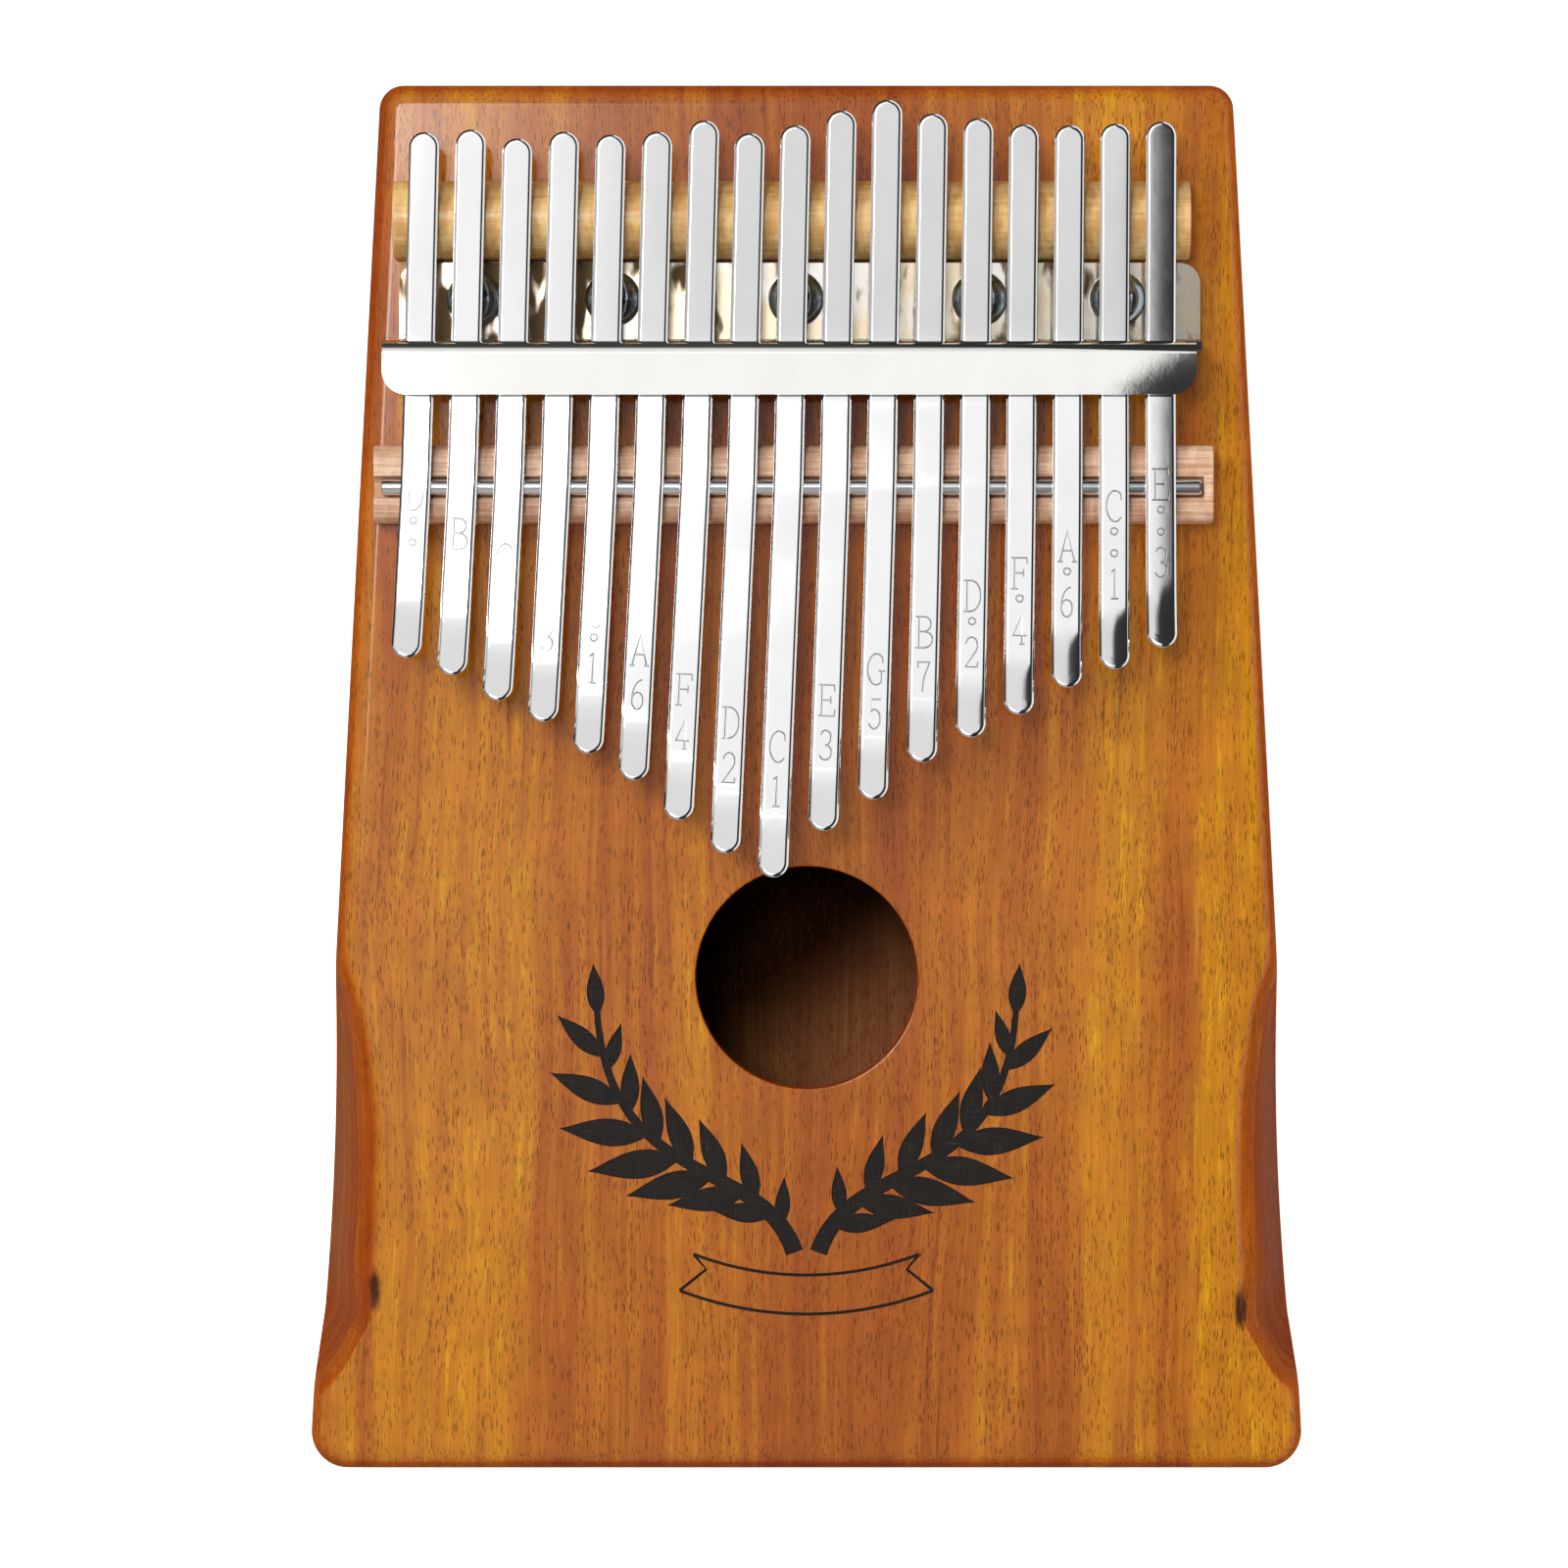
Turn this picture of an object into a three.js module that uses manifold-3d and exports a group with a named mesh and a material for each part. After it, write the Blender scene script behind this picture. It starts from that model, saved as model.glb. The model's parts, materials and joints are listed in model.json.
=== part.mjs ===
// A seventeen-key box mbira: a hollow wooden sound box with a row of spring-steel tines clamped
// across it by a slotted Z-section bracket, between a wooden rear bar and a wooden bridge with a rod.
//
// Millimetres. +X is the player's right, +Y points to the head (the tine tails), +Z comes out of
// the soundboard. The origin is the middle of the back face, where the instrument lies on a table.
import * as THREE from "three";
import { mergeVertices } from "three/addons/utils/BufferGeometryUtils.js";
import Module from "manifold-3d";

const wasm = await Module();
wasm.setup();

// ---------- driving dimensions ----------

const GLUE_LINE = 0.1; // between two glued or screwed faces
const FIT_GAP = 0.3; // between a tine and whatever it touches

const BODY = {
  length: 185,
  headWidth: 114,
  footWidth: 133,
  thickness: 25,
  headCorner: 3.3, // plan radii
  footCorner: 4.9,
  edge: 3, // roundover of the front and back edges
  board: 4, // soundboard and back plate
  wall: 12, // rim, in plan
  chamberCorner: 8,
};

// The hollow carved out of each long front edge, where the palms hold the box.
const SCOOP = {
  deepestY: -58,
  inset: 8.5, // into the front face, at deepestY
  arcRadius: 95, // of its edge on the front face
  facetY: -72.4, // where the arc gives way to a straight facet
  footY: -85,
  footInset: 1,
  depth: 20, // down the side of the box
  hollow: 1.3, // how far its surface dips below flat
};

const SOUND_HOLE = { radius: 14.8, y: -26.8 };

const HARDWARE_X = -2; // the tines, rear bar and rod sit a little to the player's left
const REAR_BAR = { y: 74.05, length: 105.8, width: 10.4, height: 6.7 };
const BRIDGE = { x: -1.75, y: 38.8, length: 111.3, width: 10.3, height: 5.9, round: 2.2 };
const ROD = { y: 38.3, length: 108.6, radius: 1.1, top: 6.7 };

const BRACKET = {
  plate: 1.2,
  bend: 0.7, // inside radius of both bends
  rearY: 68.4, // free edge of the lower flange
  webY: 57.7, // rear face of the web
  frontY: 50.4, // free edge of the upper flange
  height: 8.7, // top of the upper flange, above the soundboard
  lower: [-54.2, 52.45], // ends of the lower flange
  upper: [-56.05, 51.45], // ends of the upper flange
  lowerCorner: 2.8,
  upperCorner: 3.2,
  slotGap: 0.35,
};

const SCREW = {
  y: 63.6,
  centreX: -1.4,
  offsets: [-42.8, -24.4, 0, 24.4, 42.8],
  headRadius: 3.7,
  headHeight: 2.3,
  shankRadius: 1.75,
  length: 14,
  tip: 3,
  recess: 1.3,
  pilotGap: 0.15,
  flangeHole: 2.1,
};

const SCREW_BLOCK = { width: 16, height: 12 };

const TINE = {
  width: 4,
  thickness: 1,
  pitch: 6.156, // at the rod
  centreX: -2.45, // of the middle tine, at the rod
  longestReach: 51.6, // rod to tip of the lowest note
  shortening: 0.0455, // octaves of length lost for each semitone of pitch
  heelLean: THREE.MathUtils.degToRad(-1.5), // of the player's left-hand tines, behind the rod
  bladeLean: THREE.MathUtils.degToRad(-2.85), // and in front of it
  straightening: 6, // tines up to this one lean fully; the last one stands straight
  restHeight: 7.5, // of the middle of its thickness over the rod and rear bar
  clampHeight: 6.6, // under the bracket
  rise: 0.06, // slope of the playing end
  tipLength: 8.2, // of the turned-up tip
  tipBend: 2.4, // length over which it turns up
  tipSlope: 0.22, // how much steeper it then is
};

// Semitones above the lowest note, from the player's left to right, and the strip that each
// distance from the middle tine is cut from: every strip length but the longest makes a pair.
const NOTES = [
  ["d6", 26], ["b5", 23], ["g5", 19], ["e5", 16], ["c5", 12], ["a4", 9], ["f4", 5], ["d4", 2],
  ["c4", 0],
  ["e4", 4], ["g4", 7], ["b4", 11], ["d5", 14], ["f5", 17], ["a5", 21], ["c6", 24], ["e6", 28],
];
const STRIP_LENGTHS = [99.3, 95.1, 92.4, 85.7, 81.8, 78, 74.3, 72.1, 69.5];
const MIDDLE = (NOTES.length - 1) / 2;

const BOARD_TOP = BODY.thickness;
const BOARD_UNDER = BODY.thickness - BODY.board;

// ---------- materials ----------

const paint = (color, roughness, metalness = 0) =>
  new THREE.MeshStandardMaterial({ color, roughness, metalness });

const varnishedWood = paint(0xb56a2a, 0.25);
const rawWood = paint(0x9a6a42, 0.8);
const maple = paint(0xdca861, 0.5);
const beech = paint(0xc39470, 0.65);
const chrome = paint(0xe8e6e0, 0.12, 1);
const springSteel = paint(0xe4e3de, 0.22, 1);
const zinc = paint(0x9aa3ad, 0.25, 1);

// ---------- solids ----------

/** A closed three.js geometry as a solid that can be joined and cut. */
function solid(geometry) {
  const bare = geometry.clone();
  bare.deleteAttribute("normal");
  bare.deleteAttribute("uv");
  const merged = mergeVertices(bare, 1e-4);
  return new wasm.Manifold(
    new wasm.Mesh({
      numProp: 3,
      vertProperties: merged.getAttribute("position").array,
      triVerts: new Uint32Array(merged.index.array),
    }),
  );
}

/** A solid as a three.js geometry. */
function shapeOf(made) {
  const mesh = made.getMesh();
  const geometry = new THREE.BufferGeometry();
  geometry.setAttribute("position", new THREE.BufferAttribute(mesh.vertProperties, 3));
  geometry.setIndex(new THREE.BufferAttribute(mesh.triVerts, 1));
  geometry.computeVertexNormals();
  return geometry;
}

/** A box from its lowest to its highest corner. */
function box(low, high) {
  const size = high.map((v, k) => v - low[k]);
  const middle = high.map((v, k) => (v + low[k]) / 2);
  return solid(new THREE.BoxGeometry(...size).translate(...middle));
}

/** An upright cylinder between two heights. */
function post(x, y, radius, z0, z1, segments = 16) {
  const geometry = new THREE.CylinderGeometry(radius, radius, z1 - z0, segments);
  return solid(geometry.rotateX(Math.PI / 2).translate(x, y, (z0 + z1) / 2));
}

/** A section drawn in Y and Z, run along X. */
function alongX(section, x0, x1, curveSegments = 8) {
  const geometry = new THREE.ExtrudeGeometry(section, {
    depth: x1 - x0,
    bevelEnabled: false,
    curveSegments,
  });
  const turn = new THREE.Matrix4().makeBasis(
    new THREE.Vector3(0, 1, 0),
    new THREE.Vector3(0, 0, 1),
    new THREE.Vector3(1, 0, 0),
  );
  return geometry.applyMatrix4(turn).translate(x0, 0, 0);
}

/** A closed surface through rings of equally many points, capped at the first and last ring. */
function loft(rings) {
  const count = rings[0].length;
  const positions = rings.flat(2);
  const faces = [];
  for (let r = 0; r + 1 < rings.length; r++) {
    for (let i = 0; i < count; i++) {
      const j = (i + 1) % count;
      const [a, b, c, d] = [r * count + i, r * count + j, (r + 1) * count + j, (r + 1) * count + i];
      faces.push(a, b, c, a, c, d);
    }
  }
  const cap = (ring, flip) => {
    const middle = [0, 1, 2].map((k) => ring.reduce((sum, p) => sum + p[k], 0) / count);
    const centre = positions.length / 3;
    const start = rings.indexOf(ring) * count;
    positions.push(...middle);
    for (let i = 0; i < count; i++) {
      const [a, b] = [start + i, start + ((i + 1) % count)];
      faces.push(centre, ...(flip ? [b, a] : [a, b]));
    }
  };
  cap(rings[0], true);
  cap(rings.at(-1), false);
  const geometry = new THREE.BufferGeometry();
  geometry.setAttribute("position", new THREE.Float32BufferAttribute(positions, 3));
  geometry.setIndex(faces);
  return geometry;
}

// ---------- sound box ----------

/** Half the body's width at a distance along it, ignoring the corners. */
function halfWidth(y) {
  const share = (BODY.length / 2 - y) / BODY.length;
  return THREE.MathUtils.lerp(BODY.headWidth, BODY.footWidth, share) / 2;
}

/** The rounded corner at b, walking a to b to c anticlockwise: points with their inward normals. */
function roundedCorner(a, b, c, radius, segments) {
  const into = new THREE.Vector2().subVectors(a, b).normalize();
  const away = new THREE.Vector2().subVectors(c, b).normalize();
  const half = into.angleTo(away) / 2;
  const bisector = into.clone().add(away).normalize();
  const centre = b.clone().addScaledVector(bisector, radius / Math.sin(half));
  const first = b.clone().addScaledVector(into, radius / Math.tan(half)).sub(centre);
  const sweep = Math.PI - 2 * half;
  return Array.from({ length: segments + 1 }, (_, k) => {
    const spoke = first.clone().rotateAround(new THREE.Vector2(), (sweep * k) / segments);
    return { point: centre.clone().add(spoke), inward: spoke.clone().normalize().negate() };
  });
}

/** The body's plan outline inset by a distance, anticlockwise, with extra points down both sides. */
function outline(inset, headRadius, footRadius, cornerSegments, sideYs) {
  const slope = (BODY.footWidth - BODY.headWidth) / 2 / BODY.length;
  const lean = Math.hypot(1, slope);
  const end = BODY.length / 2 - inset;
  const edgeX = (y) => halfWidth(y) - inset * lean;
  const corner = (side, y) => new THREE.Vector2(side * edgeX(y), y);
  const [headRight, headLeft] = [corner(1, end), corner(-1, end)];
  const [footLeft, footRight] = [corner(-1, -end), corner(1, -end)];
  const side = (sign, ys) =>
    ys.map((y) => ({
      point: new THREE.Vector2(sign * edgeX(y), y),
      inward: new THREE.Vector2(-sign, -slope).normalize().multiply(new THREE.Vector2(1, -1)),
    }));
  return [
    ...roundedCorner(footRight, headRight, headLeft, headRadius, cornerSegments),
    ...roundedCorner(headRight, headLeft, footLeft, headRadius, cornerSegments),
    ...side(-1, sideYs),
    ...roundedCorner(headLeft, footLeft, footRight, footRadius, cornerSegments),
    ...roundedCorner(footLeft, footRight, headRight, footRadius, cornerSegments),
    ...side(1, [...sideYs].reverse()),
  ];
}

/** How far the front face stops short of the outline: the roundover, or the scoop where deeper. */
function frontInset(y) {
  const arc = (at) => SCOOP.inset - (at - SCOOP.deepestY) ** 2 / (2 * SCOOP.arcRadius);
  const share = (y - SCOOP.footY) / (SCOOP.facetY - SCOOP.footY);
  const cut = y > SCOOP.facetY
    ? arc(y)
    : THREE.MathUtils.lerp(SCOOP.footInset, arc(SCOOP.facetY), share);
  return Math.max(BODY.edge, cut);
}

/** The front edge's section at y, as points of [inset, height], from the face down to the side. */
function frontEdge(y, steps) {
  const inset = frontInset(y);
  const share = (inset - BODY.edge) / (SCOOP.inset - BODY.edge);
  const drop = THREE.MathUtils.lerp(BODY.edge, SCOOP.depth, share);
  const carved = THREE.MathUtils.smoothstep(inset, BODY.edge, BODY.edge + 1.5);
  const circleHandle = 0.5523;
  const handle = THREE.MathUtils.lerp(circleHandle, 0.1, carved);
  const dip = new THREE.Vector2(drop, -inset).normalize().multiplyScalar(SCOOP.hollow * carved);
  const face = new THREE.Vector2(inset, BOARD_TOP);
  const wall = new THREE.Vector2(0, BOARD_TOP - drop);
  const curve = new THREE.CubicBezierCurve(
    face,
    face.clone().add(new THREE.Vector2(-handle * inset, 0)).add(dip),
    wall.clone().add(new THREE.Vector2(0, handle * drop)).add(dip),
    wall,
  );
  return curve.getPoints(steps);
}

/** The whole body's outer form: rounded edges, and a scoop down each side. */
function bodyForm() {
  const arcY = SCOOP.deepestY + Math.sqrt(2 * SCOOP.arcRadius * (SCOOP.inset - BODY.edge));
  const arcSteps = 9;
  const sideYs = [80, 0, arcY + 4];
  for (let k = 0; k <= arcSteps; k++) {
    sideYs.push(THREE.MathUtils.lerp(arcY, SCOOP.facetY, k / arcSteps));
  }
  sideYs.push(-77, -81.5, SCOOP.footY);
  const around = outline(0, BODY.headCorner, BODY.footCorner, 4, sideYs);
  const ring = (sectionAt) =>
    around.map(({ point, inward }) => {
      const [inset, height] = sectionAt(point.y);
      return [point.x + inward.x * inset, point.y + inward.y * inset, height];
    });
  const frontSteps = 6;
  const backSteps = 4;
  const rings = [];
  for (let k = 0; k <= frontSteps; k++) {
    rings.push(ring((y) => frontEdge(y, frontSteps)[k].toArray()));
  }
  for (let k = 0; k <= backSteps; k++) {
    const turn = (Math.PI / 2) * (k / backSteps);
    const inset = BODY.edge * (1 - Math.cos(turn));
    const height = BODY.edge * (1 - Math.sin(turn));
    rings.push(ring(() => [inset, height]));
  }
  return solid(loft(rings.reverse()));
}

/** The part of a solid between two heights. */
function layer(whole, z0, z1) {
  const reach = BODY.length;
  return whole.intersect(box([-reach, -reach, z0], [reach, reach, z1]));
}

/** The sound chamber's plan, as a prism between two heights. */
function chamber(z0, z1) {
  const points = outline(BODY.wall, BODY.chamberCorner, BODY.chamberCorner, 5, []);
  const plan = new THREE.Shape(points.map((p) => p.point));
  const geometry = new THREE.ExtrudeGeometry(plan, { depth: z1 - z0, bevelEnabled: false });
  return solid(geometry.translate(0, 0, z0));
}

const screwXs = SCREW.offsets.map((offset) => SCREW.centreX + offset);

/** Cuts a hole of one radius for every bracket screw. */
function drilled(from, radius, z0, z1) {
  return screwXs.reduce((rest, x) => rest.subtract(post(x, SCREW.y, radius, z0, z1)), from);
}

const pilotRadius = SCREW.shankRadius + SCREW.pilotGap;

function soundboard(form) {
  const hole = post(0, SOUND_HOLE.y, SOUND_HOLE.radius, BOARD_UNDER - 1, BOARD_TOP + 1, 48);
  const board = layer(form, BOARD_UNDER, BOARD_TOP + 1).subtract(hole);
  return drilled(board, pilotRadius, BOARD_UNDER - 1, BOARD_TOP + 1);
}

function sideRim(form) {
  const [z0, z1] = [BODY.board + GLUE_LINE, BOARD_UNDER - GLUE_LINE];
  return layer(form, z0, z1).subtract(chamber(z0 - 1, z1 + 1));
}

/** The block under the soundboard that the bracket screws bite into. */
function screwBlock() {
  const z1 = BOARD_UNDER - GLUE_LINE;
  const z0 = z1 - SCREW_BLOCK.height;
  const [y0, y1] = [SCREW.y - SCREW_BLOCK.width / 2, SCREW.y + SCREW_BLOCK.width / 2];
  const reachAt = (y) => halfWidth(y) - BODY.wall - 3 * GLUE_LINE;
  const plan = new THREE.Shape([
    new THREE.Vector2(-reachAt(y0), y0),
    new THREE.Vector2(reachAt(y0), y0),
    new THREE.Vector2(reachAt(y1), y1),
    new THREE.Vector2(-reachAt(y1), y1),
  ]);
  const geometry = new THREE.ExtrudeGeometry(plan, {
    depth: SCREW_BLOCK.height,
    bevelEnabled: false,
  });
  const holeEnd = BOARD_TOP - SCREW.length;
  return drilled(solid(geometry.translate(0, 0, z0)), pilotRadius, holeEnd, z1 + 1);
}

// ---------- bars, bridge and rod ----------

/** A half-round maple bar that the tine tails rest on. */
function rearBar() {
  const half = REAR_BAR.width / 2;
  const base = BOARD_TOP + GLUE_LINE;
  const springing = BOARD_TOP + REAR_BAR.height - half;
  const section = new THREE.Shape();
  section.moveTo(REAR_BAR.y - half, base);
  section.lineTo(REAR_BAR.y + half, base);
  section.absarc(REAR_BAR.y, springing, half, 0, Math.PI, false);
  section.closePath();
  const reach = REAR_BAR.length / 2;
  return alongX(section, HARDWARE_X - reach, HARDWARE_X + reach, 14);
}

/** The beech bridge. The rod's groove runs out at the player's left end and stops at the right. */
function bridge() {
  const half = BRIDGE.width / 2;
  const base = BOARD_TOP + GLUE_LINE;
  const top = BOARD_TOP + BRIDGE.height;
  const round = BRIDGE.round;
  const section = new THREE.Shape();
  section.moveTo(BRIDGE.y - half, base);
  section.lineTo(BRIDGE.y + half, base);
  section.absarc(BRIDGE.y + half - round, top - round, round, 0, Math.PI / 2, false);
  section.absarc(BRIDGE.y - half + round, top - round, round, Math.PI / 2, Math.PI, false);
  section.closePath();
  const reach = BRIDGE.length / 2;
  const bar = solid(alongX(section, BRIDGE.x - reach, BRIDGE.x + reach, 5));
  const grooveRadius = ROD.radius + FIT_GAP;
  const [grooveX0, grooveX1] = [BRIDGE.x - reach - 1, rodEnd + FIT_GAP];
  const groove = solid(rodGeometry(grooveRadius, grooveX0, grooveX1));
  const slot = box(
    [grooveX0, ROD.y - grooveRadius, rodHeight],
    [grooveX1, ROD.y + grooveRadius, rodHeight + 2],
  );
  return shapeOf(bar.subtract(groove).subtract(slot));
}

const rodHeight = BOARD_TOP + ROD.top - ROD.radius;
const rodEnd = HARDWARE_X + ROD.length / 2;

function rodGeometry(radius, x0, x1) {
  return new THREE.CylinderGeometry(radius, radius, x1 - x0, 16)
    .rotateZ(Math.PI / 2)
    .translate((x0 + x1) / 2, ROD.y, rodHeight);
}

// ---------- tines ----------

/** Where each tine stands, and how far it runs each way from the rod. */
const tines = NOTES.map(([note, semitones], i) => {
  const straightened = (i - TINE.straightening) / (NOTES.length - 1 - TINE.straightening);
  const leaning = 1 - Math.max(0, straightened);
  const reach = TINE.longestReach * 2 ** (-TINE.shortening * semitones);
  return {
    name: `tine_${String(i + 1).padStart(2, "0")}_${note}`,
    x: TINE.centreX + TINE.pitch * (i - MIDDLE),
    heelLean: TINE.heelLean * leaning,
    bladeLean: TINE.bladeLean * leaning,
    reach,
    tail: STRIP_LENGTHS[Math.abs(i - MIDDLE)] - reach,
  };
});

const webMiddle = BRACKET.webY - BRACKET.plate / 2;

/** The middle of a tine's thickness above the soundboard, y being the way from the rod. */
function tineHeight(y, reach) {
  const rear = REAR_BAR.y - ROD.y;
  const clampRear = BRACKET.webY - ROD.y;
  const clampFront = BRACKET.frontY - ROD.y;
  const { restHeight: rest, clampHeight: clamp } = TINE;
  if (y >= clampRear) return THREE.MathUtils.mapLinear(y, clampRear, rear, clamp, rest);
  if (y >= clampFront) return clamp;
  if (y >= 0) return THREE.MathUtils.mapLinear(y, 0, clampFront, rest, clamp);
  const past = Math.max(0, -y - (reach - TINE.tipLength));
  const bent = Math.min(past, TINE.tipBend);
  return rest - TINE.rise * y + TINE.tipSlope * (bent ** 2 / (2 * TINE.tipBend) + past - bent);
}

/** Half the strip's width, a distance in from a rounded end. */
function endHalfWidth(distance) {
  const half = TINE.width / 2;
  const squared = half ** 2 - Math.max(0, half - distance) ** 2;
  return Math.max(0.3, Math.sqrt(squared));
}

/** A strip of steel through stations along Y, with a rounded end at `roundEnd`. */
function strip(stations, roundEnd, reach) {
  const half = TINE.thickness / 2;
  const endSteps = [0, 0.15, 0.6, 1.2, TINE.width / 2];
  const inwards = Math.sign((stations[0] + stations.at(-1)) / 2 - roundEnd);
  const ys = [...endSteps.map((step) => roundEnd + inwards * step), ...stations];
  ys.sort((a, b) => a - b);
  const rings = ys.map((y) => {
    const z = tineHeight(y, reach);
    const x = endHalfWidth(Math.abs(y - roundEnd));
    return [[-x, y, z - half], [x, y, z - half], [x, y, z + half], [-x, y, z + half]];
  });
  return loft(rings.map((ring) => ring.reverse()));
}

/** The clamped part of a tine, from its tail to the rod. */
function heel(tine) {
  const knots = [FIT_GAP / 2, BRACKET.frontY - ROD.y, BRACKET.webY - ROD.y, REAR_BAR.y - ROD.y];
  return strip(knots, tine.tail, tine.reach);
}

/** The playing part of a tine, from the rod to its turned-up tip. */
function blade(tine) {
  const bend = tine.reach - TINE.tipLength;
  const knots = [-FIT_GAP / 2, -bend, -bend - TINE.tipBend / 2, -bend - TINE.tipBend];
  return strip(knots, -tine.reach, tine.reach);
}

// ---------- bracket and screws ----------

/** The bracket's Z section: lower flange to the rear, web, upper flange to the front. */
function bracketSection() {
  const { plate, bend, rearY, webY, frontY } = BRACKET;
  const base = BOARD_TOP + GLUE_LINE;
  const top = BOARD_TOP + BRACKET.height;
  const outer = bend + plate;
  const quarter = Math.PI / 2;
  const section = new THREE.Shape();
  section.moveTo(rearY, base);
  section.lineTo(rearY, base + plate);
  section.absarc(webY + bend, base + outer, bend, -quarter, -2 * quarter, true);
  section.absarc(webY - outer, top - outer, outer, 0, quarter, false);
  section.lineTo(frontY, top);
  section.lineTo(frontY, top - plate);
  section.absarc(webY - outer, top - outer, bend, quarter, 0, true);
  section.absarc(webY + bend, base + outer, outer, 2 * quarter, 3 * quarter, false);
  section.closePath();
  return section;
}

/** What rounds a corner off: the square corner of side radius, less its quarter disc. */
function cornerWaste(x, y, signX, signY, radius, z0, z1) {
  const [far, centreX, centreY] = [1, x - signX * radius, y - signY * radius];
  const xs = [centreX, x + signX * far].sort((a, b) => a - b);
  const ys = [centreY, y + signY * far].sort((a, b) => a - b);
  const square = box([xs[0], ys[0], z0], [xs[1], ys[1], z1]);
  return square.subtract(post(centreX, centreY, radius, z0 - 1, z1 + 1, 24));
}

function bracket() {
  const { lower, upper, rearY, frontY } = BRACKET;
  const middleHeight = BOARD_TOP + BRACKET.height / 2;
  const [below, above] = [BOARD_TOP - 1, BOARD_TOP + BRACKET.height + 1];
  const [left, right] = [Math.min(lower[0], upper[0]), Math.max(lower[1], upper[1])];
  let plate = solid(alongX(bracketSection(), left, right, 3));
  // The blank was bent a little askew: each flange ends where the other runs on.
  plate = plate.subtract(box([left - 1, frontY - 1, below], [lower[0], rearY + 1, middleHeight]));
  plate = plate.subtract(box([upper[1], frontY - 1, middleHeight], [right + 1, rearY + 1, above]));
  for (const sign of [-1, 1]) {
    const [lowerX, upperX] = sign < 0 ? [lower[0], upper[0]] : [lower[1], upper[1]];
    const rear = cornerWaste(lowerX, rearY, sign, 1, BRACKET.lowerCorner, below, middleHeight);
    const front = cornerWaste(upperX, frontY, sign, -1, BRACKET.upperCorner, middleHeight, above);
    plate = plate.subtract(rear).subtract(front);
  }
  for (const tine of tines) {
    const x = tine.x - (webMiddle - ROD.y) * Math.tan(tine.heelLean);
    const halfSlot = TINE.width / 2 + BRACKET.slotGap;
    const halfHeight = TINE.thickness / 2 + BRACKET.slotGap;
    const z = BOARD_TOP + TINE.clampHeight;
    plate = plate.subtract(
      box([x - halfSlot, webMiddle - 2, z - halfHeight], [x + halfSlot, webMiddle + 2, z + halfHeight]),
    );
  }
  return shapeOf(drilled(plate, SCREW.flangeHole, below, middleHeight));
}

/** A cross-head wood screw with a domed head, standing at the origin on the flange. */
function screw() {
  const { headRadius: head, headHeight: height, shankRadius: shank, length, tip } = SCREW;
  const profile = [
    [0, -length],
    [shank * 0.25, -length],
    [shank, -length + tip],
    [shank, 0],
    [head, 0],
    [head, height * 0.35],
    [head * 0.88, height * 0.7],
    [head * 0.6, height * 0.93],
    [0, height],
  ].map(([radius, z]) => new THREE.Vector2(radius, z));
  const turned = solid(new THREE.LatheGeometry(profile, 20).rotateX(Math.PI / 2));
  const [arm, half] = [head * 0.5, 0.45];
  const recess = (x, y) => box([-x, -y, height - SCREW.recess], [x, y, height + 1]);
  return turned.subtract(recess(arm, half).add(recess(half, arm)));
}

// ---------- assembly ----------

const mbira = new THREE.Group();

function add(name, geometry, material, parent = mbira) {
  const mesh = new THREE.Mesh(geometry, material);
  mesh.name = name;
  parent.add(mesh);
  return mesh;
}

const form = bodyForm();
add("soundboard", shapeOf(soundboard(form)), varnishedWood);
add("side_rim", shapeOf(sideRim(form)), varnishedWood);
add("back_plate", shapeOf(layer(form, -1, BODY.board)), varnishedWood);
add("screw_block", shapeOf(screwBlock()), rawWood);
add("rear_bar", rearBar(), maple);
add("bridge", bridge(), beech);
add("bridge_rod", rodGeometry(ROD.radius, rodEnd - ROD.length, rodEnd), springSteel);
add("bracket", bracket(), chrome);

const screwShape = shapeOf(screw());
screwXs.forEach((x, i) => {
  const standing = add(`bracket_screw_${i + 1}`, screwShape, zinc);
  standing.position.set(x, SCREW.y, BOARD_TOP + BRACKET.plate + 2 * GLUE_LINE);
});

for (const tine of tines) {
  const place = new THREE.Group();
  place.position.set(tine.x, ROD.y, BOARD_TOP);
  add(`${tine.name}_heel`, heel(tine), springSteel, place).rotation.z = tine.heelLean;
  add(`${tine.name}_blade`, blade(tine), springSteel, place).rotation.z = tine.bladeLean;
  mbira.add(place);
}

export default mbira;
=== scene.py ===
"""The looks of a seventeen-key box mbira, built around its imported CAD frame.

Shapes are drawn in millimetres in the CAD's own frame: +X to the player's right, +Y towards the
head, +Z out of the soundboard. They become metres when their mesh is finished.
"""

import json
import math

import bmesh
import bpy
from mathutils import Matrix, Vector


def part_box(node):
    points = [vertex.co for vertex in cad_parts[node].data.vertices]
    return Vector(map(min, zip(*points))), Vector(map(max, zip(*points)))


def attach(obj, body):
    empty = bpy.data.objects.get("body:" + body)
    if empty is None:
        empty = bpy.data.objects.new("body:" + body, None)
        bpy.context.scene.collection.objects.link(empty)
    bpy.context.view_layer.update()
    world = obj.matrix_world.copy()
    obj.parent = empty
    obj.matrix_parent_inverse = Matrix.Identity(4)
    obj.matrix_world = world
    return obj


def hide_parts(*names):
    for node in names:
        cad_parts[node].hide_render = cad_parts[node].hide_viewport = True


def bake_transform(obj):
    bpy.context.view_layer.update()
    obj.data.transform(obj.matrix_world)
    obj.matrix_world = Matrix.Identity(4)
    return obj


MM = 0.001
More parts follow.
